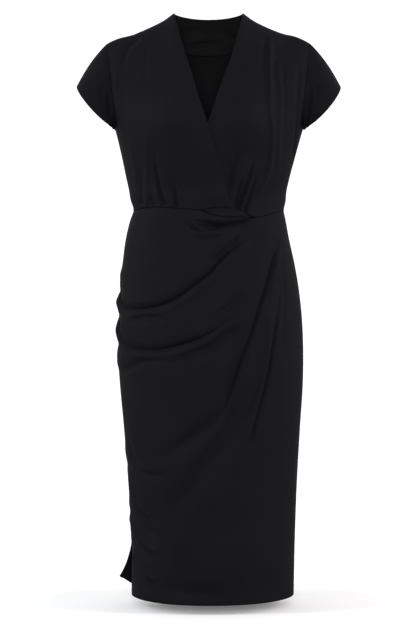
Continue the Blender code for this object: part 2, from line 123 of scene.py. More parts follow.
BODY = table(
    "drop   right   left    front  back",
    (0.000, 0.2100, 0.2100, 0.100, 0.112),
    (0.060, 0.2100, 0.2100, 0.104, 0.112),
    (0.146, 0.2040, 0.2040, 0.112, 0.112),
    (UNDERARM, 0.1775, 0.1795, 0.122, 0.110),
    (0.275, 0.1644, 0.1644, 0.116, 0.106),
    (0.310, 0.1571, 0.1550, 0.109, 0.103),
    (0.344, 0.1495, 0.1473, 0.103, 0.101),
    (WAIST, 0.1425, 0.1432, 0.100, 0.100),
    (0.389, 0.1473, 0.1459, 0.102, 0.102),
    (0.4235, 0.1562, 0.1522, 0.107, 0.108),
    (0.4805, 0.1640, 0.1645, 0.114, 0.119),
    (0.526, 0.1695, 0.1721, 0.116, 0.126),
    (0.5715, 0.1720, 0.1771, 0.118, 0.131),
    (0.617, 0.1732, 0.1797, 0.118, 0.132),
    (0.697, 0.1690, 0.1797, 0.118, 0.129),
    (0.788, 0.1607, 0.1740, 0.118, 0.125),
    (0.8905, 0.1526, 0.1682, 0.118, 0.123),
    (0.9935, 0.1459, 0.1644, 0.118, 0.122),
    (LENGTH, 0.1462, 0.1620, 0.118, 0.122),
)
SWELLS = table(
    "face across drop   wide   tall   height",
    (-1, 0.073, 0.201, 0.058, 0.057, 0.0225),      # bust
    (+1, 0.078, 0.165, 0.050, 0.060, 0.004),      # shoulder blades
    (+1, 0.070, 0.610, 0.055, 0.075, 0.007),      # seat
)
SHOULDER = table(
    "across drop",
    (NECK_HALF, -0.0036),
    (0.084, 0.0100),
    (0.106, 0.0220),
    (0.123, 0.0300),
    (0.143, 0.0388),
    (0.171, 0.0466),
    (0.188, 0.0540),
    (TIP_HALF, TIP_DROP),
)
ARMHOLE = table(                                  # cut at this share of the half width
    "drop  share",
    (TIP_DROP, 0.924),
    (0.084, 0.902),
    (0.102, 0.892),
    (0.152, 0.894),
    (0.190, 0.935),
    (0.210, 0.970),
    (UNDERARM, 1.000),
)
RIGHT_EDGE = table(
    "drop  x",
    (0.000, -0.066),
    (0.066, -0.049),
    (0.128, -0.030),
    (0.177, -0.016),
    (0.217, -0.003),
    (0.289, 0.017),
    (0.361, 0.037),
    (0.374, 0.043),
)
LEFT_EDGE = table(
    "drop  x",
    (0.000, 0.066),
    (0.045, 0.055),
    (0.087, 0.044),
    (0.132, 0.028),
    (0.175, 0.013),
    (0.216, -0.001),
    (0.289, -0.020),
    (0.377, -0.044),
)
FRONT_WAIST = table(
    "x      drop",
    (-0.143, 0.3760),
    (-0.108, 0.3725),
    (-0.060, 0.3755),
    (-0.013, 0.3790),
    (0.013, 0.3750),
    (0.035, 0.3745),
    (0.061, 0.3800),
    (0.084, 0.3915),
    (0.119, 0.3835),
    (0.144, 0.3760),
)
SAG = table(                                      # of the drape's rolled edge, left of the centre
    "x      depth",
    (-0.016, 0.0000),
    (0.013, 0.0155),
    (0.035, 0.0190),
    (0.061, 0.0130),
    (0.087, 0.0000),
)
SLEEVE_RIGHT = table(
    "x     y      drop",
    (0.2500, 0.005, 0.1386),                      # the end of the shoulder line
    (0.2210, -0.052, 0.1866),                     # foremost point of the hem
    (0.1806, 0.005, 0.2165),                      # under the arm
    (0.2210, 0.055, 0.1730),                      # rearmost point of the hem
)
SLEEVE_LEFT = table(
    "x     y      drop",
    (0.2505, 0.005, 0.1386),
    (0.2230, -0.052, 0.1890),
    (0.1818, 0.005, 0.2175),
    (0.2230, 0.055, 0.1750),
)
SLEEVE_CROWN = 0.0045      # the sleeve bulges by this much over the arm,
CROWN_CURVE = 0.7          # ... and keeps more of it towards the underarm the lower this power is
SLEEVE_FLAT = 0.8          # how squarely the hem turns under the arm
print("sizes set; hem at drop", LENGTH)


# %% Curves and the form
def smooth(at, knots, values):
    """A smooth curve through the points of a table, read at any place."""
    slopes = np.gradient(values, knots)
    span = np.clip(np.searchsorted(knots, at) - 1, 0, len(knots) - 2)
    step = knots[span + 1] - knots[span]
    t = np.clip((at - knots[span]) / step, 0.0, 1.0)
    start = (2 * t**3 - 3 * t**2 + 1) * values[span] + (t**3 - 2 * t**2 + t) * step * slopes[span]
    end = (3 * t**2 - 2 * t**3) * values[span + 1] + (t**3 - t**2) * step * slopes[span + 1]
    return start + end


def ramp(value, low, high):
    """0 below low, 1 above high, with a soft turn between."""
    t = np.clip((value - low) / (high - low), 0.0, 1.0)
    return t * t * (3 - 2 * t)


def half_width(x, drop):
    right = smooth(drop, BODY["drop"], BODY["right"])
    left = smooth(drop, BODY["drop"], BODY["left"])
    return np.where(x < 0, right, left)


def top_edge(x, face):
    """Drop and y of the shoulder seams and the neck."""
    across = np.abs(x)
    drop = smooth(np.maximum(across, NECK_HALF), SHOULDER["across"], SHOULDER["drop"])
    drop = drop - LEFT_LIFT * np.exp(-(((x - LIFT_X) / LIFT_WIDE) ** 2))
    y = np.interp(across, (NECK_HALF, TIP_HALF), (NECK_Y, TIP_Y))
    if face > 0:
        inside = np.clip(1 - (across / NECK_HALF) ** 2, 0.0, 1.0)
        drop = drop + NAPE_DROP * inside
        y = y + (NAPE_Y - NECK_Y) * np.sqrt(inside)
    return drop, y


def cloth_y(x, drop, face):
    """Y of the outer side: face -1 is the front and +1 the back."""
    share = np.clip(np.abs(x) / half_width(x, drop), 0.0, 1.0)
    roundness = (1 - share**2) ** (1 / FULLNESS)
    reach = smooth(drop, BODY["drop"], BODY["front" if face < 0 else "back"])
    y = SIDE_Y + (face * reach - SIDE_Y) * roundness
    for side, across, at, wide, tall, height in zip(*SWELLS.values()):
        if side == face:
            bump = np.exp(-(((np.abs(x) - across) / wide) ** 2) - ((drop - at) / tall) ** 2)
            y = y + face * height * bump * roundness
    edge_drop, edge_y = top_edge(x, face)
    down = np.clip((drop - edge_drop) / (SHOULDER_REACH - edge_drop), 0.0, 1.0)
    return edge_y + (y - edge_y) * (1 - (1 - down) ** 2) ** SHOULDER_ROUND


def on_body(turn, drop):
    """Points of the outer surface at the given turns and drops."""
    turn = np.mod(turn, 360.0)
    drop = np.asarray(drop, dtype=float)
    swing = -np.cos(np.radians(turn))
    x = swing * half_width(swing, drop)
    y = np.where(turn <= 180.0, cloth_y(x, drop, -1), cloth_y(x, drop, +1))
    return np.stack([x, y, -drop], axis=-1)


def turn_of(x, drop):
    """The turn of a point of the front, from its x."""
    return np.degrees(np.arccos(np.clip(-x / half_width(x, drop), -1.0, 1.0)))


def unit(vectors):
    return vectors / np.maximum(np.linalg.norm(vectors, axis=-1, keepdims=True), 1e-12)


print("waist round", round(float(np.linalg.norm(np.diff(
    on_body(np.linspace(0, 360, 361), np.full(361, WAIST)), axis=0), axis=1).sum()), 3), "m")

# %% [markdown]
# ## The panels as maps
#
# A panel is a map from its flat pattern to the form: u runs across it from 0 to 1, with the turn, and
# v runs down it from 0 to 1. Neighbours share their edges exactly, as pieces that are sewn do. The
# bodice's rows are spread by the length of the armhole and the side seam, so none of them bunch up.


# %% Bodice panels
ROWS = 160                 # samples of each edge curve
SETTLING = 6               # rounds in which a drop and the half width there come to agree
HEM_DIP = 0.0010
HEM_SIDES = 0.0044


def edge_samples():
    """Drops down the armhole and the side seam, and the share of that edge's length at each."""
    armhole = TIP_DROP + (UNDERARM - TIP_DROP) * np.sin(np.linspace(0, np.pi / 2, ROWS // 2))
    drops = np.concatenate([armhole, np.linspace(UNDERARM, WAIST, ROWS // 2 + 1)[1:]])
    edge = on_body(hole_turn(drops, -1), drops)
    steps = np.linalg.norm(np.diff(edge, axis=0), axis=-1)
    return drops, np.concatenate([[0.0], np.cumsum(steps)]) / steps.sum()


def hole_turn(drops, side):
    """How far round from the side seam the armhole is cut; side is -1 on the wearer's right."""
    share = np.where(drops < UNDERARM, smooth(drops, ARMHOLE["drop"], ARMHOLE["share"]), 1.0)
    return turn_of(side * share * half_width(np.full_like(drops, side), drops), drops)


EDGE_DROPS, EDGE_SHARES = edge_samples()
UNDERARM_SHARE = float(np.interp(UNDERARM, EDGE_DROPS, EDGE_SHARES))


def sewn_edge(side, mirrored=False):
    """The armhole and side seam as a map from v to turn and drop."""
    turns = hole_turn(EDGE_DROPS, side)
    if mirrored:
        turns = 360 - turns
    return lambda v: (np.interp(v, EDGE_SHARES, turns), np.interp(v, EDGE_SHARES, EDGE_DROPS))


def wrap_edge(edge):
    """A wrap edge as a map from v to turn and drop."""
    def place(v):
        drops = v * edge["drop"][-1]
        return turn_of(smooth(drops, edge["drop"], edge["x"]), drops), drops
    return place


def front_bottom(x):
    return smooth(x, FRONT_WAIST["x"], FRONT_WAIST["drop"])


def skirt_top(x):
    return front_bottom(x) + np.maximum(smooth(x, SAG["x"], SAG["depth"]), 0.0)


def level_waist(x):
    return np.full_like(x, WAIST)


def waist_line(swing, level):
    """Drops of a waist edge at the given cosines of the turn, each read at its own x."""
    drops = np.full_like(swing, WAIST)
    for _ in range(SETTLING):
        drops = level(swing * half_width(swing, drops))
    return drops


def bodice_panel(first, last, face, bottom, centre=None):
    """The map of a bodice panel between two edges, fitted to the shoulder and to the waist seam."""
    def along(u, v):
        turn_a, drop_a = first(v)
        turn_b, drop_b = last(v)
        drop = drop_a + (drop_b - drop_a) * u
        if centre:
            drop = drop + (centre(v) - drop) * np.sin(np.pi * u)
        return turn_a + (turn_b - turn_a) * u, drop

    def place(u, v):
        turn, drop = along(u, v)
        top_turn, top_drop = along(u, np.zeros_like(v))
        swing = -np.cos(np.radians(top_turn))
        fit = top_edge(swing * half_width(swing, top_drop), face)[0] - top_drop
        low_turn, low_drop = along(u, np.ones_like(v))
        hem = waist_line(-np.cos(np.radians(low_turn)), bottom) - low_drop
        return on_body(turn, drop + (1 - v) ** 2 * fit + v**3 * hem)
    return place


over_front = bodice_panel(sewn_edge(-1), wrap_edge(RIGHT_EDGE), -1, front_bottom)
under_front = bodice_panel(wrap_edge(LEFT_EDGE), sewn_edge(+1), -1, front_bottom)
bodice_back = bodice_panel(sewn_edge(+1, True), sewn_edge(-1, True), +1, level_waist,
                           lambda v: NAPE_DROP + v * (WAIST - NAPE_DROP))


def hem_drop(turn):
    """The hem hangs a little higher at the sides."""
    return LENGTH + HEM_DIP - HEM_SIDES * np.abs(np.cos(np.radians(turn))) ** 3


def skirt_front(u, v):
    swing = -np.cos(np.pi * u)
    top = waist_line(swing, skirt_top)
    return on_body(180 * u, top + (hem_drop(180 * u) - top) * v)


def skirt_back(u, v):
    return on_body(180 + 180 * u, WAIST + (hem_drop(180 + 180 * u) - WAIST) * v)


print("armhole share of the bodice edge", round(UNDERARM_SHARE, 3))


# %% Sleeve maps
def sleeve(side, hem_points, front, front_u, back, back_u):
    """A cap sleeve's map: u from the underarm seam round the arm and back, v from armhole to hem."""
    top, fore, under, rear = np.stack([side * hem_points["x"], hem_points["y"], -hem_points["drop"]], axis=1)
    middle = (top + under) / 2
    up_first = back if side < 0 else front        # so that the outside of the cloth faces out

    def ruled(u, v):
        height = 1 - np.abs(2 * u - 1)            # 0 under the arm, 1 at the shoulder tip
        rising = u <= 0.5
        in_front = rising != (up_first is back)
        edge_v = (1 - height) * UNDERARM_SHARE
        fore_side = front(np.full_like(u, front_u), edge_v)
        aft_side = back(np.full_like(u, back_u), edge_v)
        ring = np.where(in_front[:, None], fore_side, aft_side)
        angle = (1 - height) * np.pi
        extreme = np.where(in_front[:, None], fore, rear)
        hem = middle + np.cos(angle)[:, None] * (top - middle)
        level = np.sin(angle)
        forward = level ** (1 - SLEEVE_FLAT * (1 - height))
        hem = hem + np.stack([level, forward, level], axis=1) * (extreme - middle)
        return ring + (hem - ring) * v[:, None]

    def place(u, v):
        u = np.mod(u, 1.0)
        points = ruled(u, v)
        step = 1e-3
        across = ruled(np.mod(u + step, 1.0), v) - ruled(np.mod(u - step, 1.0), v)
        down = ruled(u, v + step) - ruled(u, v - step)
        crown = SLEEVE_CROWN * (0.5 - 0.5 * np.cos(2 * np.pi * u)) ** CROWN_CURVE
        return points + (4 * v * (1 - v) * crown)[:, None] * unit(np.cross(down, across))
    return place


sleeve_right = sleeve(-1, SLEEVE_RIGHT, over_front, 0.0, bodice_back, 1.0)
sleeve_left = sleeve(+1, SLEEVE_LEFT, under_front, 1.0, bodice_back, 0.0)
print("sleeve hem", sleeve_right(np.array([0.0, 0.5]), np.array([1.0, 1.0])).round(3).tolist())

# %% [markdown]
# ## Creases
#
# A crease is a line on the form with a trough along it. Where cloth rolls over and hides the trough,
# the trough is steep on the side of the roll and soft on the other, and the roll swells beside it.
# Each route below runs with the rolled cloth on its right-hand side, seen from outside. A negative
# depth makes a soft ridge. The troughs are real geometry, so they catch light from every side.

# %% Crease tools
Crease = namedtuple("Crease", "route width depth over lip fade_in fade_out")
STEP = 0.0025              # between the points of a crease
SOFT_SIDE = 1.4            # how the trough of a rolled crease runs out: 2 is a bell, 1 a cusp
LIP_AT = 2.1               # a lip stands this many widths from its crease,
LIP_WIDTH = 1.2            # ... and is this many widths wide
MARGIN = 5                 # a crease reaches this many widths at the most
BATCH = 4000               # points measured at once, to save memory


def crease(*route, width, depth, over=0.0, lip=0.0, fade=(0.3, 0.3)):
    """A crease's route, its soft half width and its depth, the width of the roll on its right, the
    height of a lip on its left, and the shares of its length over which its two ends fade."""
    return Crease(np.array(route, dtype=float), width, depth, over, lip, *fade)


def crease_line(one, form):
    """Points along a crease on the form, and how strongly it shows at each."""
    lengths = np.linalg.norm(np.diff(form(*one.route.T), axis=0), axis=1)
    stops = np.concatenate([[0.0], np.cumsum(lengths)]) / lengths.sum()
    t = np.linspace(0, 1, int(lengths.sum() / STEP) + 4)
    line = form(smooth(t, stops, one.route[:, 0]), smooth(t, stops, one.route[:, 1]))
    return line, ramp(t, 0.0, one.fade_in) * ramp(1 - t, 0.0, one.fade_out)


def crease_profile(side, one):
    """Height across a crease; side is the distance towards the cloth that rolls over it."""
    if one.over:
        inner = np.clip(1 - side / one.over, 0.0, 1.0)
        rolled = one.depth * (np.sqrt(1 - inner**2) - 1)
        below = -one.depth * np.exp(-((np.abs(side) / one.width) ** SOFT_SIDE))
        height = np.where(side > 0, rolled, below)
    else:
        height = -one.depth * np.exp(-((side / one.width) ** 2))
    lip = (side + LIP_AT * one.width) / (LIP_WIDTH * one.width)
    return height + one.lip * np.exp(-(lip**2))


def crease_heights(points, normals, creases, form):
    """How far the creases move each point along its normal."""
    total = np.zeros(len(points))
    for one in creases:
        line, strength = crease_line(one, form)
        tangents = unit(np.gradient(line, axis=0))
        margin = max(MARGIN * one.width, one.over) + STEP
        near = np.flatnonzero(np.all((points > line.min(axis=0) - margin)
                                     & (points < line.max(axis=0) + margin), axis=1))
        for some in np.array_split(near, len(near) // BATCH + 1):
            spots = points[some]
            apart = ((spots[:, None, :] - line[None]) ** 2).sum(axis=-1)
            closest = np.argmin(apart, axis=-1)
            along = tangents[closest]
            away = spots - line[closest]
            ahead = (away * along).sum(axis=-1)
            beside = away - ahead[:, None] * along
            across = np.cross(along, normals[some])
            side = np.linalg.norm(beside, axis=-1) * np.sign((beside * across).sum(axis=-1))
            beyond = np.where(closest == 0, -ahead, np.where(closest == len(line) - 1, ahead, 0.0))
            past_end = np.exp(-((np.maximum(beyond, 0.0) / one.width) ** 2))
            total[some] += strength[closest] * past_end * crease_profile(side, one)
    return total


# %% [markdown]
# ## Cutting, turning in and laying on
#
# Each panel starts as a flat grid. Its edges are turned in as a maker turns them: the cloth rolls
# over with a small radius and runs back underneath, by a few millimetres at a seam and more at the
# hem. Faces near a crease are subdivided first, because a crease needs points to bend at. Then
# every point moves to its place on the form, and a Solidify modifier gives the cloth its thickness.

# %% Cloth tools
CLOTH = 0.0007             # thickness of the crepe
TURN = 0.0009              # radius of an edge that is turned under, as at the hem
SEAM = 0.0003              # radius of an edge that is sewn and pressed
WAIST_ROLL = 0.0016        # radius of the edges that meet at the waist in front
CORNER = 0.012             # a turned edge tightens to the seam's radius this near a corner
LAP = 0.0036               # depth of an allowance that is pressed under the neighbouring panel
LAP_STEP = 0.0030          # over which it steps down to that depth
GAP = 0.00010              # each side of a seam
ALLOWANCE = 0.008          # width of the turning behind a seam
FOLD_ROOM = 0.6            # a turning lies this share of the thickness further in
ROLL_UNIT = 0.001          # length on the flat pattern that stands for the roll of a turned edge
ROLL_STOPS = (0.25, 0.5, 0.75, 1.0)
SHARP = 0.0046             # a crease narrower than this needs its points close together


def lines(count, before, after, backs=2):
    """Where the grid's lines lie: turning before 0, even steps from 0 to 1, turning after 1."""
    roll = ROLL_UNIT * np.array(ROLL_STOPS)

    def turning(width):
        if not width:
            return np.zeros(0)
        return np.concatenate([roll, ROLL_UNIT + np.linspace(0, width, backs + 1)[1:]])

    return np.concatenate([-turning(before)[::-1], np.linspace(0, 1, count + 1), 1 + turning(after)])


def cut(name, columns, rows, start=0.0, end=0.0, top=0.0, bottom=0.0, backs=2):
    """A flat grid with the pattern's u along x and -v along y, and its turnings past 0 and 1."""
    across = lines(columns, start, end)
    down = lines(rows, top, bottom, backs)
    bpy.ops.object.select_all(action="DESELECT")
    bpy.ops.mesh.primitive_grid_add(x_subdivisions=len(across) - 1, y_subdivisions=len(down) - 1, size=1)
    cloth = bpy.context.object
    cloth.name = name
    cloth.data.name = name
    flat = flat_points(cloth)
    column = np.rint((flat[:, 0] + 0.5) * (len(across) - 1)).astype(int)
    row = np.rint((0.5 - flat[:, 1]) * (len(down) - 1)).astype(int)
    flat[:, 0] = across[column]
    flat[:, 1] = -down[row]
    cloth.data.vertices.foreach_set("co", flat.ravel())
    return cloth


def flat_points(cloth):
    points = np.zeros(len(cloth.data.vertices) * 3)
    cloth.data.vertices.foreach_get("co", points)
    return points.reshape(-1, 3)


def add_points(cloth, place, creases, reach, sharp_reach):
    """Subdivides the faces near creases, and once more near the sharp ones; reaches are in metres."""
    sharp = [one for one in creases if one.over or one.width < SHARP]
    for some, within in ((creases, reach), (sharp, sharp_reach)):
        line_points = np.concatenate([crease_line(one, on_body)[0] for one in some])
        tree = KDTree(len(line_points))
        for index, point in enumerate(line_points):
            tree.insert(point, index)
        tree.balance()
        faces = cloth.data.polygons
        centres = np.zeros(len(faces) * 3)
        faces.foreach_get("center", centres)
        centres = centres.reshape(-1, 3)
        u, v = centres[:, 0], -centres[:, 1]
        inside = (u > 0) & (u < 1) & (v > 0) & (v < 1)
        spots = place(np.clip(u, 0, 1), np.clip(v, 0, 1))
        near = np.array([tree.find(spot)[2] < within for spot in spots]) & inside
        bpy.ops.object.mode_set(mode="EDIT")
        bpy.context.tool_settings.mesh_select_mode = (False, False, True)
        bpy.ops.mesh.select_all(action="DESELECT")
        bpy.ops.object.mode_set(mode="OBJECT")
        cloth.data.polygons.foreach_set("select", near)
        bpy.ops.object.mode_set(mode="EDIT")
        bpy.ops.mesh.subdivide(number_cuts=1)
        bpy.ops.object.mode_set(mode="OBJECT")


def slopes_of(place, u, v):
    """How the form's points change with u and with v, in metres for each whole panel."""
    step = 4e-4
    u0, u1 = np.clip(u - step, 0, 1), np.clip(u + step, 0, 1)
    v0, v1 = np.clip(v - step, 0, 1), np.clip(v + step, 0, 1)
    by_u = (place(u1, v) - place(u0, v)) / (u1 - u0)[:, None]
    by_v = (place(u, v1) - place(u, v0)) / (v1 - v0)[:, None]
    return by_u, by_v


def past(flat):
    """For one flat coordinate: its place inside the panel, how far round the roll, and how far back."""
    beyond = np.maximum(np.maximum(-flat, flat - 1), 0.0)
    roll = np.clip(beyond / ROLL_UNIT, 0, 1) * np.pi
    back = np.maximum(beyond - ROLL_UNIT, 0.0)
    return np.clip(flat, 0, 1), np.where(flat < 0.5, -1.0, 1.0), roll, back


def edge_space(place, u, v, direction, radius):
    """How much of the panel a turned edge takes up, at the start and at the end."""
    ends = []
    for end in (0.0, 1.0):
        at = (np.full_like(u, end), v) if direction == 0 else (u, np.full_like(v, end))
        ends.append((radius + GAP) / np.linalg.norm(slopes_of(place, *at)[direction], axis=1))
    return ends


def edge_radius(u, v, radii, sizes):
    """The radius of the turned edge nearest each point: radii for start, end, top and bottom."""
    away = np.stack([u * sizes[0], (1 - u) * sizes[0], v * sizes[1], (1 - v) * sizes[1]])
    nearest = np.sort(away, axis=0)
    chosen = np.array(radii)[np.argmin(away, axis=0)]
    return SEAM + (chosen - SEAM) * ramp(nearest[1], 0.0, CORNER)


def pressed_under(ends, end, along):
    """True where an edge's allowance is pressed under its neighbour: a range for each of its two ends.
    A range whose first number is the larger one runs on past 1 and round to 0, as on a sleeve."""
    lapped = np.zeros(len(along), dtype=bool)
    for which, reach in zip((-1.0, 1.0), ends):
        if reach:
            low, high = reach
            within = (along >= low) & (along <= high) if low <= high else (along >= low) | (along <= high)
            lapped |= (end == which) & within
    return lapped


def turned(roll, back, bend, lapped):
    """How far out from the edge and how deep under it each point of a turned edge lies."""
    out = np.where(lapped, LAP_STEP * roll / np.pi + back, bend * np.sin(roll))
    folded = bend * (1 - np.cos(roll)) + FOLD_ROOM * CLOTH * roll / np.pi
    return out, np.where(lapped, LAP * ramp(out, 0.0, LAP_STEP), folded)


def lay(cloth, place, creases=(), form=on_body, extra=None, radii=(SEAM, SEAM, SEAM, SEAM), size=(1, 1),
        laps=(None, None, None, None)):
    """Moves the flat cloth to its place, turned edges and creases and all. The panel's map is `place`,
    the routes of its creases are places on `form`, and `extra` adds heights of its own. The radii and
    laps are those of its start, end, top and bottom, and the size is the pattern's, in metres."""
    flat = flat_points(cloth)
    u, u_end, u_roll, u_back = past(flat[:, 0])
    v, v_end, v_roll, v_back = past(-flat[:, 1])
    bend = edge_radius(u, v, radii, size)
    u_lap = pressed_under(laps[:2], u_end, v)
    v_lap = pressed_under(laps[2:], v_end, u)
    u_start, u_stop = edge_space(place, u, v, 0, bend) if u_roll.any() else (0.0, 0.0)
    v_start, v_stop = edge_space(place, u, v, 1, bend) if v_roll.any() else (0.0, 0.0)
    u_in = u_start + u * (1 - u_start - u_stop)
    v_in = v_start + v * (1 - v_start - v_stop)
    by_u, by_v = slopes_of(place, u_in, v_in)
    u_in = np.clip(u_in - u_end * np.where(u_lap, 0, u_back) / np.linalg.norm(by_u, axis=1), 0, 1)
    v_in = np.clip(v_in - v_end * np.where(v_lap, 0, v_back) / np.linalg.norm(by_v, axis=1), 0, 1)
    points = place(u_in, v_in)
    by_u, by_v = slopes_of(place, u_in, v_in)
    normals = unit(np.cross(by_v, by_u))
    height = crease_heights(points, normals, creases, form) if creases else 0.0
    if extra is not None:
        height = height + extra(u_in, v_in, points)
    u_out, u_deep = turned(u_roll, u_back, bend, u_lap)
    v_out, v_deep = turned(v_roll, v_back, bend, v_lap)
    points = points + (height - u_deep - v_deep)[:, None] * normals
    points = points + (u_end * u_out)[:, None] * unit(by_u) + (v_end * v_out)[:, None] * unit(by_v)
    cloth.data.vertices.foreach_set("co", points.ravel())
    cloth.data.update()
    weave = flat[:, :2] * np.array(size)
    corners = np.zeros(len(cloth.data.loops), dtype=np.int32)
    cloth.data.loops.foreach_get("vertex_index", corners)
    cloth.data.uv_layers.active.data.foreach_set("uv", weave[corners].ravel())


def thicken(cloth, thickness=CLOTH, inner=0):
    """Gives the cloth its thickness, inwards, and shades it smooth."""
    bpy.ops.object.select_all(action="DESELECT")
    cloth.select_set(True)
    bpy.context.view_layer.objects.active = cloth
    solid = cloth.modifiers.new("thickness", "SOLIDIFY")
    solid.thickness = thickness
    solid.offset = -1
    solid.use_rim = True
    solid.material_offset = inner
    bpy.ops.object.modifier_apply(modifier=solid.name)
    bpy.ops.object.shade_smooth_by_angle(angle=np.radians(60))
    cloth.data.calc_loop_triangles()
    print(cloth.name, len(cloth.data.loop_triangles), "triangles")


print("crepe", CLOTH * 1000, "mm thick")

# %% [markdown]
# ## Black crepe
#
# Crepe is woven from hard-twisted yarns that shrink unevenly, so its surface is a fine pebble with no
# gloss. In black it shows only by a soft light on its slopes. The pebble and the yarns follow each
# panel's own pattern coordinates, which are in metres, so they run with the cloth.


# %% Materials
def add_node(tree, kind, inputs, **settings):
    """A new node; each input is set to a number or a colour, or joined to another node's output."""
    node = tree.nodes.new(kind)
    for name, value in settings.items():
        setattr(node, name, value)
    for name, value in inputs.items():
        if isinstance(value, bpy.types.NodeSocket):
            tree.links.new(value, node.inputs[name])
        else:
            node.inputs[name].default_value = value
    return node


def crepe(name, colour, sheen):
    material = bpy.data.materials.new(name)
    material.use_nodes = True
    tree = material.node_tree
    shader = tree.nodes["Principled BSDF"]
    shader.inputs["Roughness"].default_value = 0.78
    shader.inputs["Specular IOR Level"].default_value = 0.045
    shader.inputs["Sheen Weight"].default_value = sheen
    shader.inputs["Sheen Roughness"].default_value = 0.45
    shader.inputs["Sheen Tint"].default_value = (0.80, 0.86, 1.0, 1.0)

    pattern = add_node(tree, "ShaderNodeUVMap", {}, uv_map="UVMap").outputs["UV"]
    pebble = add_node(tree, "ShaderNodeTexNoise", {"Scale": 1100, "Detail": 3, "Vector": pattern})
    yarns = add_node(tree, "ShaderNodeTexWave", {
        "Scale": 700, "Distortion": 3.0, "Detail Scale": 2.0, "Vector": pattern,
    }, wave_type="BANDS", bands_direction="X")
    cloudy = add_node(tree, "ShaderNodeTexNoise", {"Scale": 14, "Detail": 4, "Vector": pattern})
    grain = add_node(tree, "ShaderNodeMix", {
        "Factor": 0.35, "A": pebble.outputs["Fac"], "B": yarns.outputs["Fac"],
    }, data_type="FLOAT")
    tone = add_node(tree, "ShaderNodeMix", {
        "Factor": 0.3, "A": grain.outputs["Result"], "B": cloudy.outputs["Fac"],
    }, data_type="FLOAT")

    colours = add_node(tree, "ShaderNodeValToRGB", {"Fac": tone.outputs["Result"]})
    for stop, at, strength in zip(colours.color_ramp.elements, (0.30, 0.70), (0.72, 1.28)):
        stop.position = at
        stop.color = (*[strength * c for c in colour], 1)
    tree.links.new(colours.outputs["Color"], shader.inputs["Base Color"])
    bump = add_node(tree, "ShaderNodeBump", {
        "Strength": 0.5, "Distance": 0.00012, "Height": grain.outputs["Result"],
    })
    tree.links.new(bump.outputs["Normal"], shader.inputs["Normal"])
    return material


black_crepe = crepe("black_crepe", (0.0068, 0.0067, 0.0079), 0.0115)
# a slightly darker copy of the crepe for the neck facing: painted shade for the inside of the neck
inner_crepe_painted_shade = crepe("inner_crepe_painted_shade", (0.0064, 0.0064, 0.0069), 0.006)
# a darker copy of the crepe for the back's inner side: its darker colour is painted shade for the inside of
# the neck
wrong_side_painted_shade = crepe("wrong_side_painted_shade", (0.0050, 0.0049, 0.0056), 0.006)
print("materials", black_crepe.name, inner_crepe_painted_shade.name, wrong_side_painted_shade.name)


# %% [markdown]
# ## What the frame is told
#
# A finished panel takes the place of its plain solid in the frame, in the one body that the dress is.


# %% Finishing a piece
def finish_panel(cloth, node, material=black_crepe):
    if not cloth.data.materials:
        cloth.data.materials.append(material)
    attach(cloth, "root")
    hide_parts(node)


# %% [markdown]
# ## The skirt front
#
# The front of the skirt is one wide piece of crepe that is gathered into the wearer's right side seam
# and folded over along the waist. It falls across the hips in two swags, and two long pleats run down
# and inwards from the wearer's left, a little below the waist. A simulation would hang folds of its
# own, so here every fold of the photograph is a crease, given by the turn and the drop of a few points
# along it. Where the side seam gathers the cloth, it swells out between the folds.

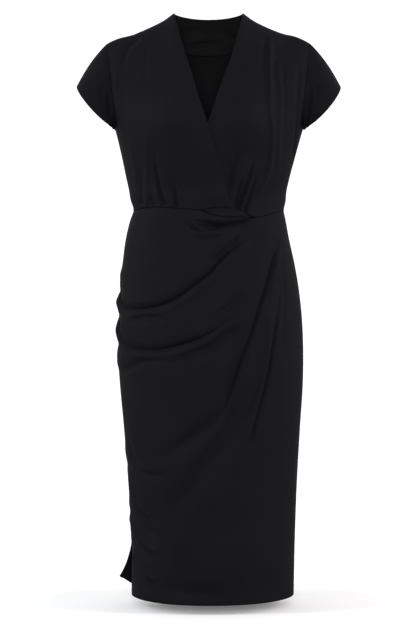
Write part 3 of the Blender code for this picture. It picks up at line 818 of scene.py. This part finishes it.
# %% Skirt creases
SKIRT_CREASES = (
    # the deep crevice under the rolled top edge, and the pocket that opens below it
    crease((127.5, 0.392), (106.6, 0.4035), (100.7, 0.406), (90.4, 0.402), (80.1, 0.3985), (73, 0.3965),
           width=0.0085, depth=0.011, over=0.0045, fade=(0.22, 0.55)),
    crease((73.7, 0.393), (72.9, 0.401), (75.8, 0.408), (79.2, 0.4145), (84, 0.4185), (92, 0.4165),
           (100.1, 0.412), (107, 0.4075), (113.5, 0.402),
           width=0.007, depth=0.01, over=0.0035, fade=(0.35, 0.3)),
    crease((103, 0.4085), (94, 0.4095), (84, 0.409), (79, 0.407),
           width=0.0052, depth=0.009, fade=(0.3, 0.4)),
    crease((111, 0.412), (98, 0.4215), (87.3, 0.4255), (79.1, 0.4225),
           width=0.005, depth=-0.0026, fade=(0.4, 0.4)),
    crease((105.7, 0.4195), (95.7, 0.4285), (84.1, 0.434), (71.7, 0.435),
           width=0.0085, depth=0.0056, fade=(0.4, 0.5)),
    # the upper swag, with the soft trough and the ridge beside its start
    crease((116.3, 0.416), (108, 0.434), (101.7, 0.449), (93.6, 0.467), (88, 0.48),
           width=0.0075, depth=0.007, over=0.015),
    crease((120.8, 0.42), (103.7, 0.457), (97.8, 0.472), (92.3, 0.491), (79.7, 0.52), (74.6, 0.532),
           (69.9, 0.541), (60.6, 0.552), (46.6, 0.56), (38, 0.562), (29.5, 0.5615), (21.5, 0.5575),
           (15.5, 0.551), (12, 0.5425), (10.5, 0.533), (10, 0.523),
           width=0.0056, depth=0.0112, over=0.0175, lip=0.0018, fade=(0.24, 0.05)),
    crease((127, 0.416), (110.2, 0.453), (102.4, 0.468), (88.1, 0.508), (78.8, 0.531), (69.9, 0.549),
           (58.9, 0.56), width=0.0075, depth=-0.0026),
    crease((30, 0.584), (41, 0.579), (48.4, 0.578), (64.7, 0.586),
           width=0.0064, depth=0.0072, fade=(0.25, 0.45)),
    # the lower swag and its neighbours
    crease((114.4, 0.542), (103.6, 0.573), (100.3, 0.584), (87.3, 0.612), (74.9, 0.625), (56.4, 0.637),
           (41.3, 0.6365), (30.5, 0.6335), (22.5, 0.6275), (17.5, 0.6185), (15, 0.608), (13.5, 0.596),
           (11, 0.583), width=0.0056, depth=0.0094, over=0.0155, lip=0.0016, fade=(0.45, 0.04)),
    crease((112, 0.527), (107.8, 0.543), (98.1, 0.569), (94.2, 0.577), width=0.0055, depth=0.0034),
    crease((112.5, 0.512), (105, 0.536), (97, 0.558), (89, 0.574), width=0.006, depth=-0.0024),
    crease((108.7, 0.575), (105.3, 0.585), (95.3, 0.605), (90, 0.619), (83.3, 0.629), (67.4, 0.646),
           (58.4, 0.65), width=0.0075, depth=-0.0034),
    crease((111.8, 0.594), (99.7, 0.613), (91.8, 0.633), (85.1, 0.644), (79, 0.649),
           width=0.0095, depth=0.0056),
    crease((8, 0.69), (29.2, 0.673), (46.8, 0.66), (55.6, 0.658), (60.5, 0.658), (75.1, 0.664),
           width=0.007, depth=0.0044, fade=(0.55, 0.4)),
    # the long pleat, its ridge, and the broad trough that follows it down
    crease((151.2, 0.426), (144.3, 0.446), (141, 0.459), (134.6, 0.488), (129.3, 0.517), (124.9, 0.544),
           (121.3, 0.567), (114.6, 0.62), (112.1, 0.64), (108.2, 0.671), (103.6, 0.713), (100.4, 0.745),
           (96.9, 0.77), width=0.0036, depth=0.0088, over=0.027, fade=(0.16, 0.24)),
    crease((112, 0.58), (107.6, 0.62), (104, 0.665), (100.5, 0.705), (96.5, 0.745),
           width=0.011, depth=0.0056, fade=(0.4, 0.4)),
    crease((103.1, 0.713), (99.4, 0.745), (93, 0.77), (84, 0.788), (77.2, 0.803), (68, 0.821), (58, 0.838),
           (48.3, 0.848), width=0.012, depth=0.0058, fade=(0.35, 0.45)),
    crease((124.8, 0.546), (116.8, 0.616), (111.6, 0.678), (105.9, 0.719), (103.2, 0.745), (94.8, 0.786),
           (91.2, 0.806), (85.1, 0.826), (70.5, 0.866), width=0.009, depth=-0.0036),
    crease((114.7, 0.675), (114.9, 0.704), (111.9, 0.739), (105.2, 0.773), (94.9, 0.817), (89.7, 0.842),
           (82.5, 0.873), (75.7, 0.899), (70.5, 0.912), (60.2, 0.927), (49.9, 0.934),
           width=0.0175, depth=0.0076),
    # the finer pleat beside it, with two threads of cloth that leave it at the top
    crease((154.8, 0.452), (149, 0.473), (139.5, 0.544), (135, 0.589), (132.3, 0.62), (129.8, 0.655),
           (127.8, 0.682), (124.5, 0.72), (120.9, 0.757), (117.4, 0.793), (111, 0.848),
           width=0.0044, depth=0.0088, over=0.013, fade=(0.54, 0.22)),
    crease((136.2, 0.527), (129.8, 0.601), (122.9, 0.717), (118.5, 0.759), (115.7, 0.787), (112, 0.816),
           (106.8, 0.851), (101.6, 0.878), width=0.008, depth=-0.0034),
    crease((149, 0.474), (145.9, 0.527), (141.1, 0.601), (138.6, 0.657), width=0.0055, depth=0.003),
    crease((148.4, 0.445), (141.8, 0.475), (133.5, 0.527), (129.8, 0.564), width=0.005, depth=-0.0026),
    crease((125.2, 0.418), (117.7, 0.453), (109.3, 0.494), (102.3, 0.527), width=0.008, depth=0.0014),
    # ruching that fades out of the lower side seam
    crease((12, 0.806), (21.1, 0.822), (24.8, 0.836), (31.8, 0.849), (41.1, 0.856),
           width=0.008, depth=0.0044, fade=(0.45, 0.35)),
    crease((21.4, 0.8567), (31.1, 0.8627), (40.1, 0.8688), (53.1, 0.871), (65.3, 0.868),
           width=0.0055, depth=0.003, fade=(0.5, 0.4)),
    crease((12, 0.866), (19, 0.888), (26, 0.911), (33, 0.931), (40, 0.945), (47, 0.956),
           width=0.0085, depth=-0.0068, fade=(0.3, 0.4)),
    crease((12, 0.902), (20.6, 0.9207), (29.7, 0.9488), (39.5, 0.9711), (49.8, 0.9842), (57.9, 0.9904),
           width=0.0075, depth=0.0056, fade=(0.35, 0.4)),
    crease((53.5, 1.038), (47.5, 1.033), (41, 1.024), (34, 1.01), (27, 0.99), (20, 0.969), (13, 0.951),
           (5, 0.937), width=0.0068, depth=0.0074, over=0.014, fade=(0.35, 0.15)),
    crease((15, 0.948), (20, 0.96), (26.6, 0.978), (33.9, 0.994), (43.9, 1.0085), (53.5, 1.015),
           width=0.0056, depth=-0.0058, fade=(0.3, 0.35)),
    crease((27, 1.006), (18, 0.994), (9, 0.979), (0, 0.969),
           width=0.0055, depth=0.0042, over=0.008, fade=(0.45, 0.1)),
    crease((14, 1.006), (21.8, 1.024), (29.2, 1.04), (36, 1.052), (43.5, 1.061), (52, 1.0665),
           width=0.0056, depth=-0.0066, fade=(0.3, 0.3)),
    crease((45, 1.0835), (36, 1.077), (27, 1.064), (18, 1.045), (9, 1.023),
           width=0.0068, depth=0.0064, over=0.01, fade=(0.35, 0.15)),
    crease((48.7, 1.073), (69.3, 1.083), (90, 1.086), (104, 1.084), width=0.013, depth=0.003),
)
PUFFS = table(                                    # where the cloth swells out at the ruched seam
    "drop    tall    height",
    (0.4960, 0.0110, 0.0020),
    (0.5270, 0.0060, -0.0022),
    (0.5500, 0.0110, 0.0046),
    (0.5745, 0.0065, -0.0026),
    (0.6020, 0.0140, 0.0040),
    (0.6280, 0.0065, -0.0022),
    (0.6500, 0.0100, 0.0018),
    (0.6640, 0.0080, 0.0022),
    (0.8300, 0.0120, 0.0012),
    (0.8560, 0.0060, -0.0012),
    (0.9300, 0.0120, 0.0014),
    (0.9620, 0.0110, 0.0032),
    (0.9790, 0.0080, 0.0016),
    (0.9950, 0.0130, 0.0014),
)
PUFF_REACH = 20            # degrees of turn either side of the seam


def puffs(points):
    """The swelling between the folds where they run into the wearer's right side seam."""
    drop = -points[:, 2]
    turn = np.degrees(np.arctan2(np.abs(points[:, 1] - SIDE_Y), -points[:, 0]))
    swell = np.zeros(len(points))
    for at, tall, height in zip(*PUFFS.values()):
        swell = swell + height * np.exp(-(((drop - at) / tall) ** 2))
    return swell * np.exp(-((turn / PUFF_REACH) ** 2))


ROLL_PROUD = 0.0024        # the rolled edge of the drape stands out by this much where it sags,
ROLL_SAG = 0.010           # ... all of it once the edge hangs this far down,
ROLL_FLAT = 0.004          # ... from the edge to here,
ROLL_END = 0.020           # ... and none from here down


def skirt_front_heights(u, v, points):
    """The swell of the rolled edge along the waist and the puffs at the side seam."""
    top = waist_line(-np.cos(np.pi * u), skirt_top)
    sag = top - front_bottom(points[:, 0])
    rolled = ramp(sag, 0.0, ROLL_SAG) * (1 - ramp(-points[:, 2] - top, ROLL_FLAT, ROLL_END))
    return ROLL_PROUD * rolled + puffs(points)


SKIRT_SIZE = (0.47, 0.73)  # of either skirt panel, along its pattern's u and v
SKIRT_EDGES = dict(start=ALLOWANCE, end=ALLOWANCE, top=ALLOWANCE, bottom=0.028, backs=4)
cloth = cut("skirt_front_cloth", 88, 138, **SKIRT_EDGES)
add_points(cloth, skirt_front, SKIRT_CREASES, reach=0.012, sharp_reach=0.0056)
print("cut", len(cloth.data.polygons), "faces")
lay(cloth, skirt_front, SKIRT_CREASES, extra=skirt_front_heights, radii=(SEAM, SEAM, WAIST_ROLL, TURN),
    size=SKIRT_SIZE)
thicken(cloth)
finish_panel(cloth, "skirt_front")

# %% [markdown]
# ## The skirt back
#
# The back is plain and smooth, so a form and a few soft creases give it. Its side allowances are
# pressed under the front's edges. The right side seam is left open near the hem for walking, and there
# the free corner of the back hangs outwards. That corner is bent out of the form itself, before the
# cloth is laid, so that its turned edges and its folds go with it.

# %% Skirt back
SEWN_TO = 0.82             # share of the back's length down which it is sewn to the front
SLIT_TOP = 1.004           # drop at which the free corner starts to swing out
CORNER_OUT = 0.0235        # the free corner of the back skirt swings out by this much,
CORNER_BACK = 0.0265       # ... back by this
CORNER_UP = 0.0305         # ... and up by this
CORNER_REACH = 0.052       # how far from the corner the cloth swings out,
LIFT_REACH = 0.080         # ... and how far its hem is drawn up,
LIFT_CURVE = 1.6           # ... dying away with this power of the distance


def skirt_back_with_slit(u, v):
    """The back panel with its free corner swung out beside the slit."""
    points = skirt_back(u, v)
    corner = skirt_back(np.ones_like(u), np.ones_like(v))
    hem = skirt_back(u, np.ones_like(v))
    down = np.clip((-points[:, 2] - SLIT_TOP) / (-corner[:, 2] - SLIT_TOP), 0.0, 1.0)
    away = np.linalg.norm(hem - corner, axis=1)
    swing = down * np.clip(1 - away / CORNER_REACH, 0.0, 1.0) ** 2
    points = points + swing[:, None] * np.array([-CORNER_OUT, CORNER_BACK, 0.0])
    points[:, 2] += CORNER_UP * down**2 * np.clip(1 - away / LIFT_REACH, 0.0, 1.0) ** LIFT_CURVE
    return points


BACK_CREASES = (
    crease((335, 0.42), (320, 0.44), (300, 0.452), width=0.01, depth=0.0018),
    crease((205, 0.415), (222, 0.44), (245, 0.45), width=0.01, depth=0.002),
    crease((300, 0.69), (275, 0.705), (245, 0.698), width=0.014, depth=0.0025, fade=(0.4, 0.4)),
    crease((262, 0.74), (240, 0.748), (215, 0.735), width=0.012, depth=0.0018),
    crease((352, 0.64), (338, 0.625), (322, 0.618), width=0.008, depth=0.002, fade=(0.05, 0.5)),
    crease((355, 0.47), (340, 0.474), (325, 0.484), width=0.008, depth=0.0022, fade=(0.05, 0.5)),
)
cloth = cut("skirt_back_cloth", 84, 130, **SKIRT_EDGES)
lay(cloth, skirt_back_with_slit, SKIRT_CREASES + BACK_CREASES, extra=lambda u, v, points: puffs(points),
    radii=(SEAM, SEAM, TURN, TURN), size=SKIRT_SIZE, laps=((0, 1), (0, SEWN_TO), None, None))
thicken(cloth)
finish_panel(cloth, "skirt_back")

# %% [markdown]
# ## The bodice
#
# Two fronts cross in a V, the wearer's right one on top, and one back closes the shell. The fronts are
# cut a little long and eased into the waist seam, which makes the short folds that rise from it and the
# slight blousing above it. The left front is laid deeper where the right one covers it, so that the two
# never touch. The inner side of the back shows in the neck opening and has a darker copy of the crepe
# with less sheen; its darker colour is painted shade for the inside of the neck.

# %% Bodice
TO_SEAM = (0.5, 0.05)      # how a crease fades that runs into the waist seam
RIGHT_CREASES = (
    crease((51, 0.04), (50.2, 0.049), (43.2, 0.071), (40.7, 0.09), (38.8, 0.134),
           width=0.0065, depth=0.003, fade=(0.15, 0.5)),
    crease((56.2, 0.068), (56.1, 0.099), (54.9, 0.141), width=0.006, depth=0.0014),
    crease((58.7, 0.076), (58.8, 0.118), (58.1, 0.149), width=0.006, depth=-0.001),
    crease((37.5, 0.142), (35.5, 0.173), (30.4, 0.212), width=0.0055, depth=0.0018),
    crease((34.2, 0.098), (29.4, 0.168), (17.5, 0.222), width=0.0045, depth=-0.0018),
    crease((48.4, 0.225), (46.1, 0.268), (43, 0.313), (36.8, 0.37),
           width=0.0055, depth=-0.0024, fade=(0.4, 0.05)),
    crease((54.9, 0.25), (52.8, 0.285), (52, 0.319), (53.7, 0.347), (56.1, 0.372),
           width=0.0037, depth=0.0056, fade=(0.75, 0.05)),
    crease((53.5, 0.245), (51.5, 0.295), (52, 0.34), width=0.009, depth=0.0016, fade=(0.4, 0.4)),
    crease((57.8, 0.288), (58.9, 0.309), (60.5, 0.333), (62.4, 0.353), (63.5, 0.374),
           width=0.005, depth=-0.0038, fade=TO_SEAM),
    crease((50.1, 0.327), (51, 0.376), width=0.004, depth=-0.0022, fade=TO_SEAM),
    crease((66.6, 0.315), (66, 0.345), (65.2, 0.374), width=0.0034, depth=0.004, fade=(0.75, 0.05)),
    crease((37.7, 0.285), (34.9, 0.331), (30.6, 0.369), width=0.0055, depth=0.0034, fade=(0.6, 0.05)),
    crease((43.4, 0.338), (44.4, 0.371), width=0.0036, depth=0.0044, fade=(0.7, 0.05)),
    crease((30.4, 0.247), (29.4, 0.302), (25.1, 0.358), width=0.006, depth=-0.0014),
)
LEFT_CREASES = (
    crease((121.5, 0.042), (121.2, 0.076), (121, 0.105), (120.6, 0.138),
           width=0.006, depth=0.0026, fade=(0.15, 0.5)),
    crease((123.3, 0.046), (123.7, 0.137), (128.4, 0.21), (132, 0.233), (134, 0.26), (135.4, 0.29),
           (134.2, 0.32), (130.6, 0.342), (124.5, 0.372), width=0.0058, depth=-0.0052, fade=(0.1, 0.12)),
    crease((126.3, 0.076), (126.7, 0.127), (130.1, 0.175), width=0.006, depth=0.002),
    crease((131.5, 0.096), (134.2, 0.155), (140.5, 0.208), (144.8, 0.248), width=0.0055, depth=0.003),
    crease((129.9, 0.116), (140.5, 0.262), (148, 0.318), width=0.0058, depth=-0.003),
    crease((143.7, 0.09), (147.4, 0.161), (156.1, 0.213), (165.6, 0.265), (180, 0.307),
           width=0.0048, depth=0.0046),
    crease((138.8, 0.135), (156.2, 0.255), width=0.006, depth=-0.002),
    crease((106.6, 0.288), (103.2, 0.316), (101.2, 0.338), width=0.0055, depth=0.0026, fade=(0.4, 0.3)),
    crease((110.9, 0.258), (108.8, 0.282), (107.3, 0.308), (105.6, 0.327), (103.2, 0.347),
           width=0.0042, depth=0.0042, fade=(0.6, 0.2)),
    crease((114.6, 0.276), (112, 0.318), (108.9, 0.339), (105.4, 0.359),
           width=0.0045, depth=-0.0034, fade=(0.4, 0.2)),
    crease((115.4, 0.312), (112.4, 0.345), (109.2, 0.376), width=0.0034, depth=0.0054, fade=TO_SEAM),
    crease((121.2, 0.28), (120.5, 0.304), (119.2, 0.326), (115.8, 0.35), (112, 0.38),
           width=0.004, depth=0.0066, fade=TO_SEAM),
    crease((124.2, 0.318), (119.9, 0.347), (115.4, 0.382), width=0.004, depth=-0.003, fade=TO_SEAM),
    crease((126.8, 0.296), (125, 0.323), (121.5, 0.353), (117.6, 0.387),
           width=0.004, depth=0.0062, fade=TO_SEAM),
)

BODICE_TALL = 0.326        # about, from the shoulder seam to the waist seam
BLOUSE_HEIGHT = 0.0022     # the bodice blouses by this much,
BLOUSE_AT = 0.016          # ... most of all this far above the waist seam,
BLOUSE_REACH = 0.012       # ... and within this reach of it
COVER_DEPTH = 0.0028       # the under front lies this much deeper under the over front,
COVER_FROM = 0.010         # ... up to this far past the wrap edge,
COVER_TO = 0.045           # ... and is back on the surface here


def blouse(u, v, points):
    """The bodice blouses a little over the waist seam."""
    above = (1 - v) * BODICE_TALL
    return BLOUSE_HEIGHT * np.exp(-(((above - BLOUSE_AT) / BLOUSE_REACH) ** 2))


def under_heights(u, v, points):
    """The left front blouses too, and is sunk where the right front covers it."""
    past_edge = points[:, 0] - smooth(-points[:, 2], RIGHT_EDGE["drop"], RIGHT_EDGE["x"])
    covered = 1 - ramp(past_edge, COVER_FROM, COVER_TO)
    return blouse(u, v, points) - covered * COVER_DEPTH


FRONT_SIZE = (0.22, 0.39)
WRAP_TURNING = 0.010       # width of the turning behind a wrap edge
cloth = cut("over_front_cloth", 70, 100, ALLOWANCE, WRAP_TURNING, ALLOWANCE, ALLOWANCE)
add_points(cloth, over_front, RIGHT_CREASES, reach=0.010, sharp_reach=0.0055)
lay(cloth, over_front, RIGHT_CREASES, extra=blouse, radii=(SEAM, TURN, SEAM, WAIST_ROLL), size=FRONT_SIZE)
thicken(cloth)
finish_panel(cloth, "bodice_front_right")

cloth = cut("under_front_cloth", 70, 100, WRAP_TURNING, ALLOWANCE, ALLOWANCE, ALLOWANCE)
add_points(cloth, under_front, LEFT_CREASES, reach=0.010, sharp_reach=0.0055)
lay(cloth, under_front, LEFT_CREASES, extra=under_heights, radii=(TURN, SEAM, SEAM, WAIST_ROLL),
    size=FRONT_SIZE)
thicken(cloth)
finish_panel(cloth, "bodice_front_left")

BODICE_BACK_CREASES = (
    crease((215, 0.355), (235, 0.345), (262, 0.352), width=0.01, depth=0.0018),
    crease((330, 0.35), (310, 0.34), (285, 0.347), width=0.01, depth=0.002),
    crease((300, 0.06), (305, 0.13), (312, 0.19), width=0.012, depth=0.0016),
    crease((240, 0.06), (235, 0.13), (228, 0.19), width=0.012, depth=0.0016),
)
side_seam = (UNDERARM_SHARE + 0.012, 1)            # from just under the armhole to the waist
cloth = cut("bodice_back_cloth", 90, 90, ALLOWANCE, ALLOWANCE, ALLOWANCE, ALLOWANCE)
lay(cloth, bodice_back, BODICE_BACK_CREASES, extra=blouse, radii=(SEAM, SEAM, TURN, TURN), size=(0.44, 0.38),
    laps=(side_seam, side_seam, None, (0, 1)))
cloth.data.materials.append(black_crepe)
# the inner side takes the darker copy of the crepe, painted shade
cloth.data.materials.append(wrong_side_painted_shade)
thicken(cloth, inner=1)
finish_panel(cloth, "bodice_back")


# %% [markdown]
# ## The neck facing
#
# A facing is a shaped strip that is sewn along a neck edge and turned to the inside, to keep the edge
# flat. It shows inside the back of the neck. It takes its shape from the bodice back, a little further
# in, and its lower edge hangs free.

# %% Neck facing
FACING_DEEP = 0.168        # share of the bodice back that the facing reaches down, at its ends,
FACING_DIP = 0.012         # ... and how much more in the middle
FACING_SHORT = 0.015       # share of the neck's width by which it stops short at each end
FACING_UNDER = 0.0030      # how far inside the back it lies,
FACING_FREE = 0.0020       # ... and how much more its free edge hangs away
FACING_CLOTH = 0.0005      # its thickness


def facing(u, v):
    tip = hole_turn(EDGE_DROPS[:1], -1)[0]
    shoulder = float((turn_of(-NECK_HALF, 0.0) - tip) / (180 - 2 * tip))    # as a share of the top edge
    across = shoulder + (1 - 2 * shoulder) * (FACING_SHORT + (1 - 2 * FACING_SHORT) * u)
    return bodice_back(across, (FACING_DEEP + FACING_DIP * np.sin(np.pi * u)) * v)


FACING_CREASES = (
    crease((268, 0.018), (255, 0.036), (244, 0.046), width=0.006, depth=-0.0022),
    crease((283, 0.047), (279, 0.042), (275, 0.038), (270, 0.034), width=0.005, depth=0.003),
    crease((277, 0.044), (270, 0.045), (262, 0.043), width=0.004, depth=-0.0026),
    crease((288, 0.03), (281, 0.023), (272, 0.024), width=0.006, depth=-0.002),
    crease((263, 0.06), (271, 0.064), (280, 0.058), width=0.005, depth=0.0022),
)


def inside_back(u, v, points):
    return -FACING_UNDER - FACING_FREE * v**3


cloth = cut("facing_cloth", 40, 24, bottom=0.004)
lay(cloth, facing, FACING_CREASES, extra=inside_back, size=(0.14, 0.07))
thicken(cloth, FACING_CLOTH)
# the facing takes the slightly darker copy of the crepe, painted shade
finish_panel(cloth, "back_neck_facing",
             material=inner_crepe_painted_shade)


# %% [markdown]
# ## The waist insert
#
# The drape's folded edge sags below the waist seam, left of the centre, and a strip of the stretched
# layer underneath shows in that gap. It is laid deep enough to stay in the shade of both edges, and
# deeper still behind the drape.

# %% Waist insert
INSERT_FROM = -0.026       # its ends, at these x
INSERT_TO = 0.096
INSERT_ABOVE = 0.001       # how far it runs up behind the bodice,
INSERT_BELOW = 0.003       # ... and down behind the drape
INSERT_UNDER = 0.0034      # how deep it lies,
DIVE_DEPTH = 0.0085        # ... how much deeper it gets behind the drape's rolled edge,
DIVE_FROM = 0.0050         # ... and how far above that edge it starts to
INSERT_CLOTH = 0.0006      # its thickness


def insert(u, v):
    x = INSERT_FROM + (INSERT_TO - INSERT_FROM) * u
    top = front_bottom(x) - INSERT_ABOVE
    drop = top + (skirt_top(x) + INSERT_BELOW - top) * v
    return on_body(turn_of(x, drop), drop)


def behind(u, v, points):
    """The insert dives in steeply where the drape's rolled edge hides it."""
    near = np.clip(1 - (skirt_top(points[:, 0]) + points[:, 2]) / DIVE_FROM, 0.0, 1.0)
    return -INSERT_UNDER - DIVE_DEPTH * (1 - np.sqrt(1 - near**2))


cloth = cut("insert_cloth", 90, 30)
lay(cloth, insert, extra=behind, size=(0.13, 0.025))
thicken(cloth, INSERT_CLOTH)
finish_panel(cloth, "waist_insert")

# %% [markdown]
# ## The sleeves
#
# A cap sleeve is a short tube that is sewn into the armhole. Its flat piece is wrapped round the arm
# from the underarm, and its two ends are merged there. One edge follows the bodice's armhole, with the
# allowance pressed under, except at the shoulder tip, where the edge is only rolled over.

# %% Sleeves
SLEEVE_RIGHT_CREASES = (                          # in the sleeve's own u and v
    crease((0.73, 0.1), (0.78, 0.2), (0.84, 0.3), (0.9, 0.42), width=0.005, depth=0.003, fade=(0.4, 0.4)),
    crease((0.68, 0.3), (0.74, 0.42), (0.8, 0.55), width=0.007, depth=0.0014),
    crease((0.28, 0.12), (0.22, 0.22), (0.16, 0.34), width=0.006, depth=0.0024),
)
SLEEVE_LEFT_CREASES = (
    crease((0.3, 0.14), (0.24, 0.22), (0.17, 0.28), (0.1, 0.34), (0.06, 0.44),
           width=0.005, depth=0.0044, fade=(0.45, 0.2)),
    crease((0.33, 0.3), (0.27, 0.42), (0.21, 0.55), width=0.007, depth=0.0014),
    crease((0.72, 0.12), (0.78, 0.22), (0.84, 0.34), width=0.006, depth=0.0024),
)
SLEEVE_LAP = (0.58, 0.42)  # all of the armhole but the shoulder tip, round by the underarm
for node, place, creases in (
    ("sleeve_right", sleeve_right, SLEEVE_RIGHT_CREASES),
    ("sleeve_left", sleeve_left, SLEEVE_LEFT_CREASES),
):
    cloth = cut(node + "_cloth", 110, 40, top=0.005, bottom=0.010)
    lay(cloth, place, creases, form=place, radii=(SEAM, SEAM, SEAM, TURN), size=(0.40, 0.08),
        laps=(None, None, SLEEVE_LAP, None))
    # the sleeve is a tube, so the two ends of its grid are joined
    bpy.ops.object.mode_set(mode="EDIT")
    bpy.ops.mesh.select_all(action="SELECT")
    bpy.ops.mesh.remove_doubles(threshold=0.00005)
    bpy.ops.object.mode_set(mode="OBJECT")
    thicken(cloth)
    finish_panel(cloth, node)

# %% [markdown]
# ## Studio
#
# The photograph has a pure white ground and even, soft light, as a white backdrop gives. The world
# does the same: the camera sees it plain white, and the dress gets most of its light from behind and
# from the sides. A lamp in front lifts the crepe's surface out of the black, and a weaker one at each
# side lights the slopes of the folds. The floor is a disc of white paper.

# %% Floor, light and background
FLOOR_RADIUS = 0.34
FLOOR_GAP = 0.018          # the photograph shows light under the hem
bpy.ops.object.select_all(action="DESELECT")
bpy.ops.mesh.primitive_circle_add(vertices=96, radius=FLOOR_RADIUS, fill_type="NGON",
                                  location=(0, 0, -LENGTH - FLOOR_GAP))
floor = bpy.context.object
floor.name = "floor"
paper = bpy.data.materials.new("white_paper")
paper.use_nodes = True
paper_shader = paper.node_tree.nodes["Principled BSDF"]
paper_shader.inputs["Base Color"].default_value = (0.92, 0.92, 0.92, 1)
paper_shader.inputs["Roughness"].default_value = 1.0
paper_shader.inputs["Specular IOR Level"].default_value = 0.0
paper_shader.inputs["Emission Color"].default_value = (1, 1, 1, 1)
paper_shader.inputs["Emission Strength"].default_value = 0.14
floor.data.materials.append(paper)
floor.visible_diffuse = False      # it stands for a sheet of paper that throws no light back
floor.visible_glossy = False
floor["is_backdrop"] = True

scene = bpy.context.scene
scene.view_settings.view_transform = "Standard"
world = bpy.data.worlds.new("studio")
scene.world = world
world.use_nodes = True
sky = world.node_tree
seen = sky.nodes["Background"]
seen.inputs["Color"].default_value = (1, 1, 1, 1)
seen.inputs["Strength"].default_value = 1.2

# most of the light comes from the backdrop behind the dress, and the least from below
direction = add_node(sky, "ShaderNodeTexCoord", {})
parts = add_node(sky, "ShaderNodeSeparateXYZ", {"Vector": direction.outputs["Generated"]})
behind_it = add_node(sky, "ShaderNodeMapRange", {
    "Value": parts.outputs["Y"], "From Min": -0.4, "From Max": 0.5, "To Min": 0.48, "To Max": 1.16,
})
rise = add_node(sky, "ShaderNodeMapRange", {"Value": parts.outputs["Z"], "From Min": -1.0})
above = add_node(sky, "ShaderNodeValToRGB", {"Fac": rise.outputs["Result"]})
stops = above.color_ramp.elements                 # little from below, most from the sides
stops[0].position, stops[0].color = 0.36, (0.08, 0.08, 0.08, 1)
stops[1].position, stops[1].color = 0.92, (0.62, 0.62, 0.62, 1)
stops.new(0.58).color = (1, 1, 1, 1)
strength = add_node(sky, "ShaderNodeMath", {
    0: behind_it.outputs["Result"], 1: above.outputs["Color"],
}, operation="MULTIPLY")
glow = add_node(sky, "ShaderNodeBackground", {"Color": (1, 1, 1, 1), "Strength": strength.outputs["Value"]})
ray = add_node(sky, "ShaderNodeLightPath", {})
both = add_node(sky, "ShaderNodeMixShader", {
    "Fac": ray.outputs["Is Camera Ray"], 1: glow.outputs["Background"], 2: seen.outputs["Background"],
})
sky.links.new(both.outputs["Shader"], sky.nodes["World Output"].inputs["Surface"])

for name, spot, aim, wide, high, watts, colour in (
    ("front", (0.0, -3.2, -0.2), (0, 0, -0.2), 0.8, 0.8, 69, (0.97, 0.98, 1.0)),
    ("left", (-2.0, -0.5, -0.1), (0, 0, -0.4), 0.6, 1.4, 27, (0.96, 0.98, 1.0)),
    ("right", (2.0, -0.5, -0.1), (0, 0, -0.4), 0.6, 1.4, 27, (1.0, 0.93, 0.965)),
):
    bpy.ops.object.light_add(type="AREA", location=spot)
    lamp = bpy.context.object
    lamp.name = name
    lamp.data.shape = "RECTANGLE"
    lamp.data.size = wide
    lamp.data.size_y = high
    lamp.data.energy = watts
    lamp.data.color = colour
    lamp.rotation_euler = (Vector(aim) - lamp.location).to_track_quat("-Z", "Y").to_euler()

# %% Sizes and the end
low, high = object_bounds()
print("visual box", [round(v, 4) for v in (*low, *high)])
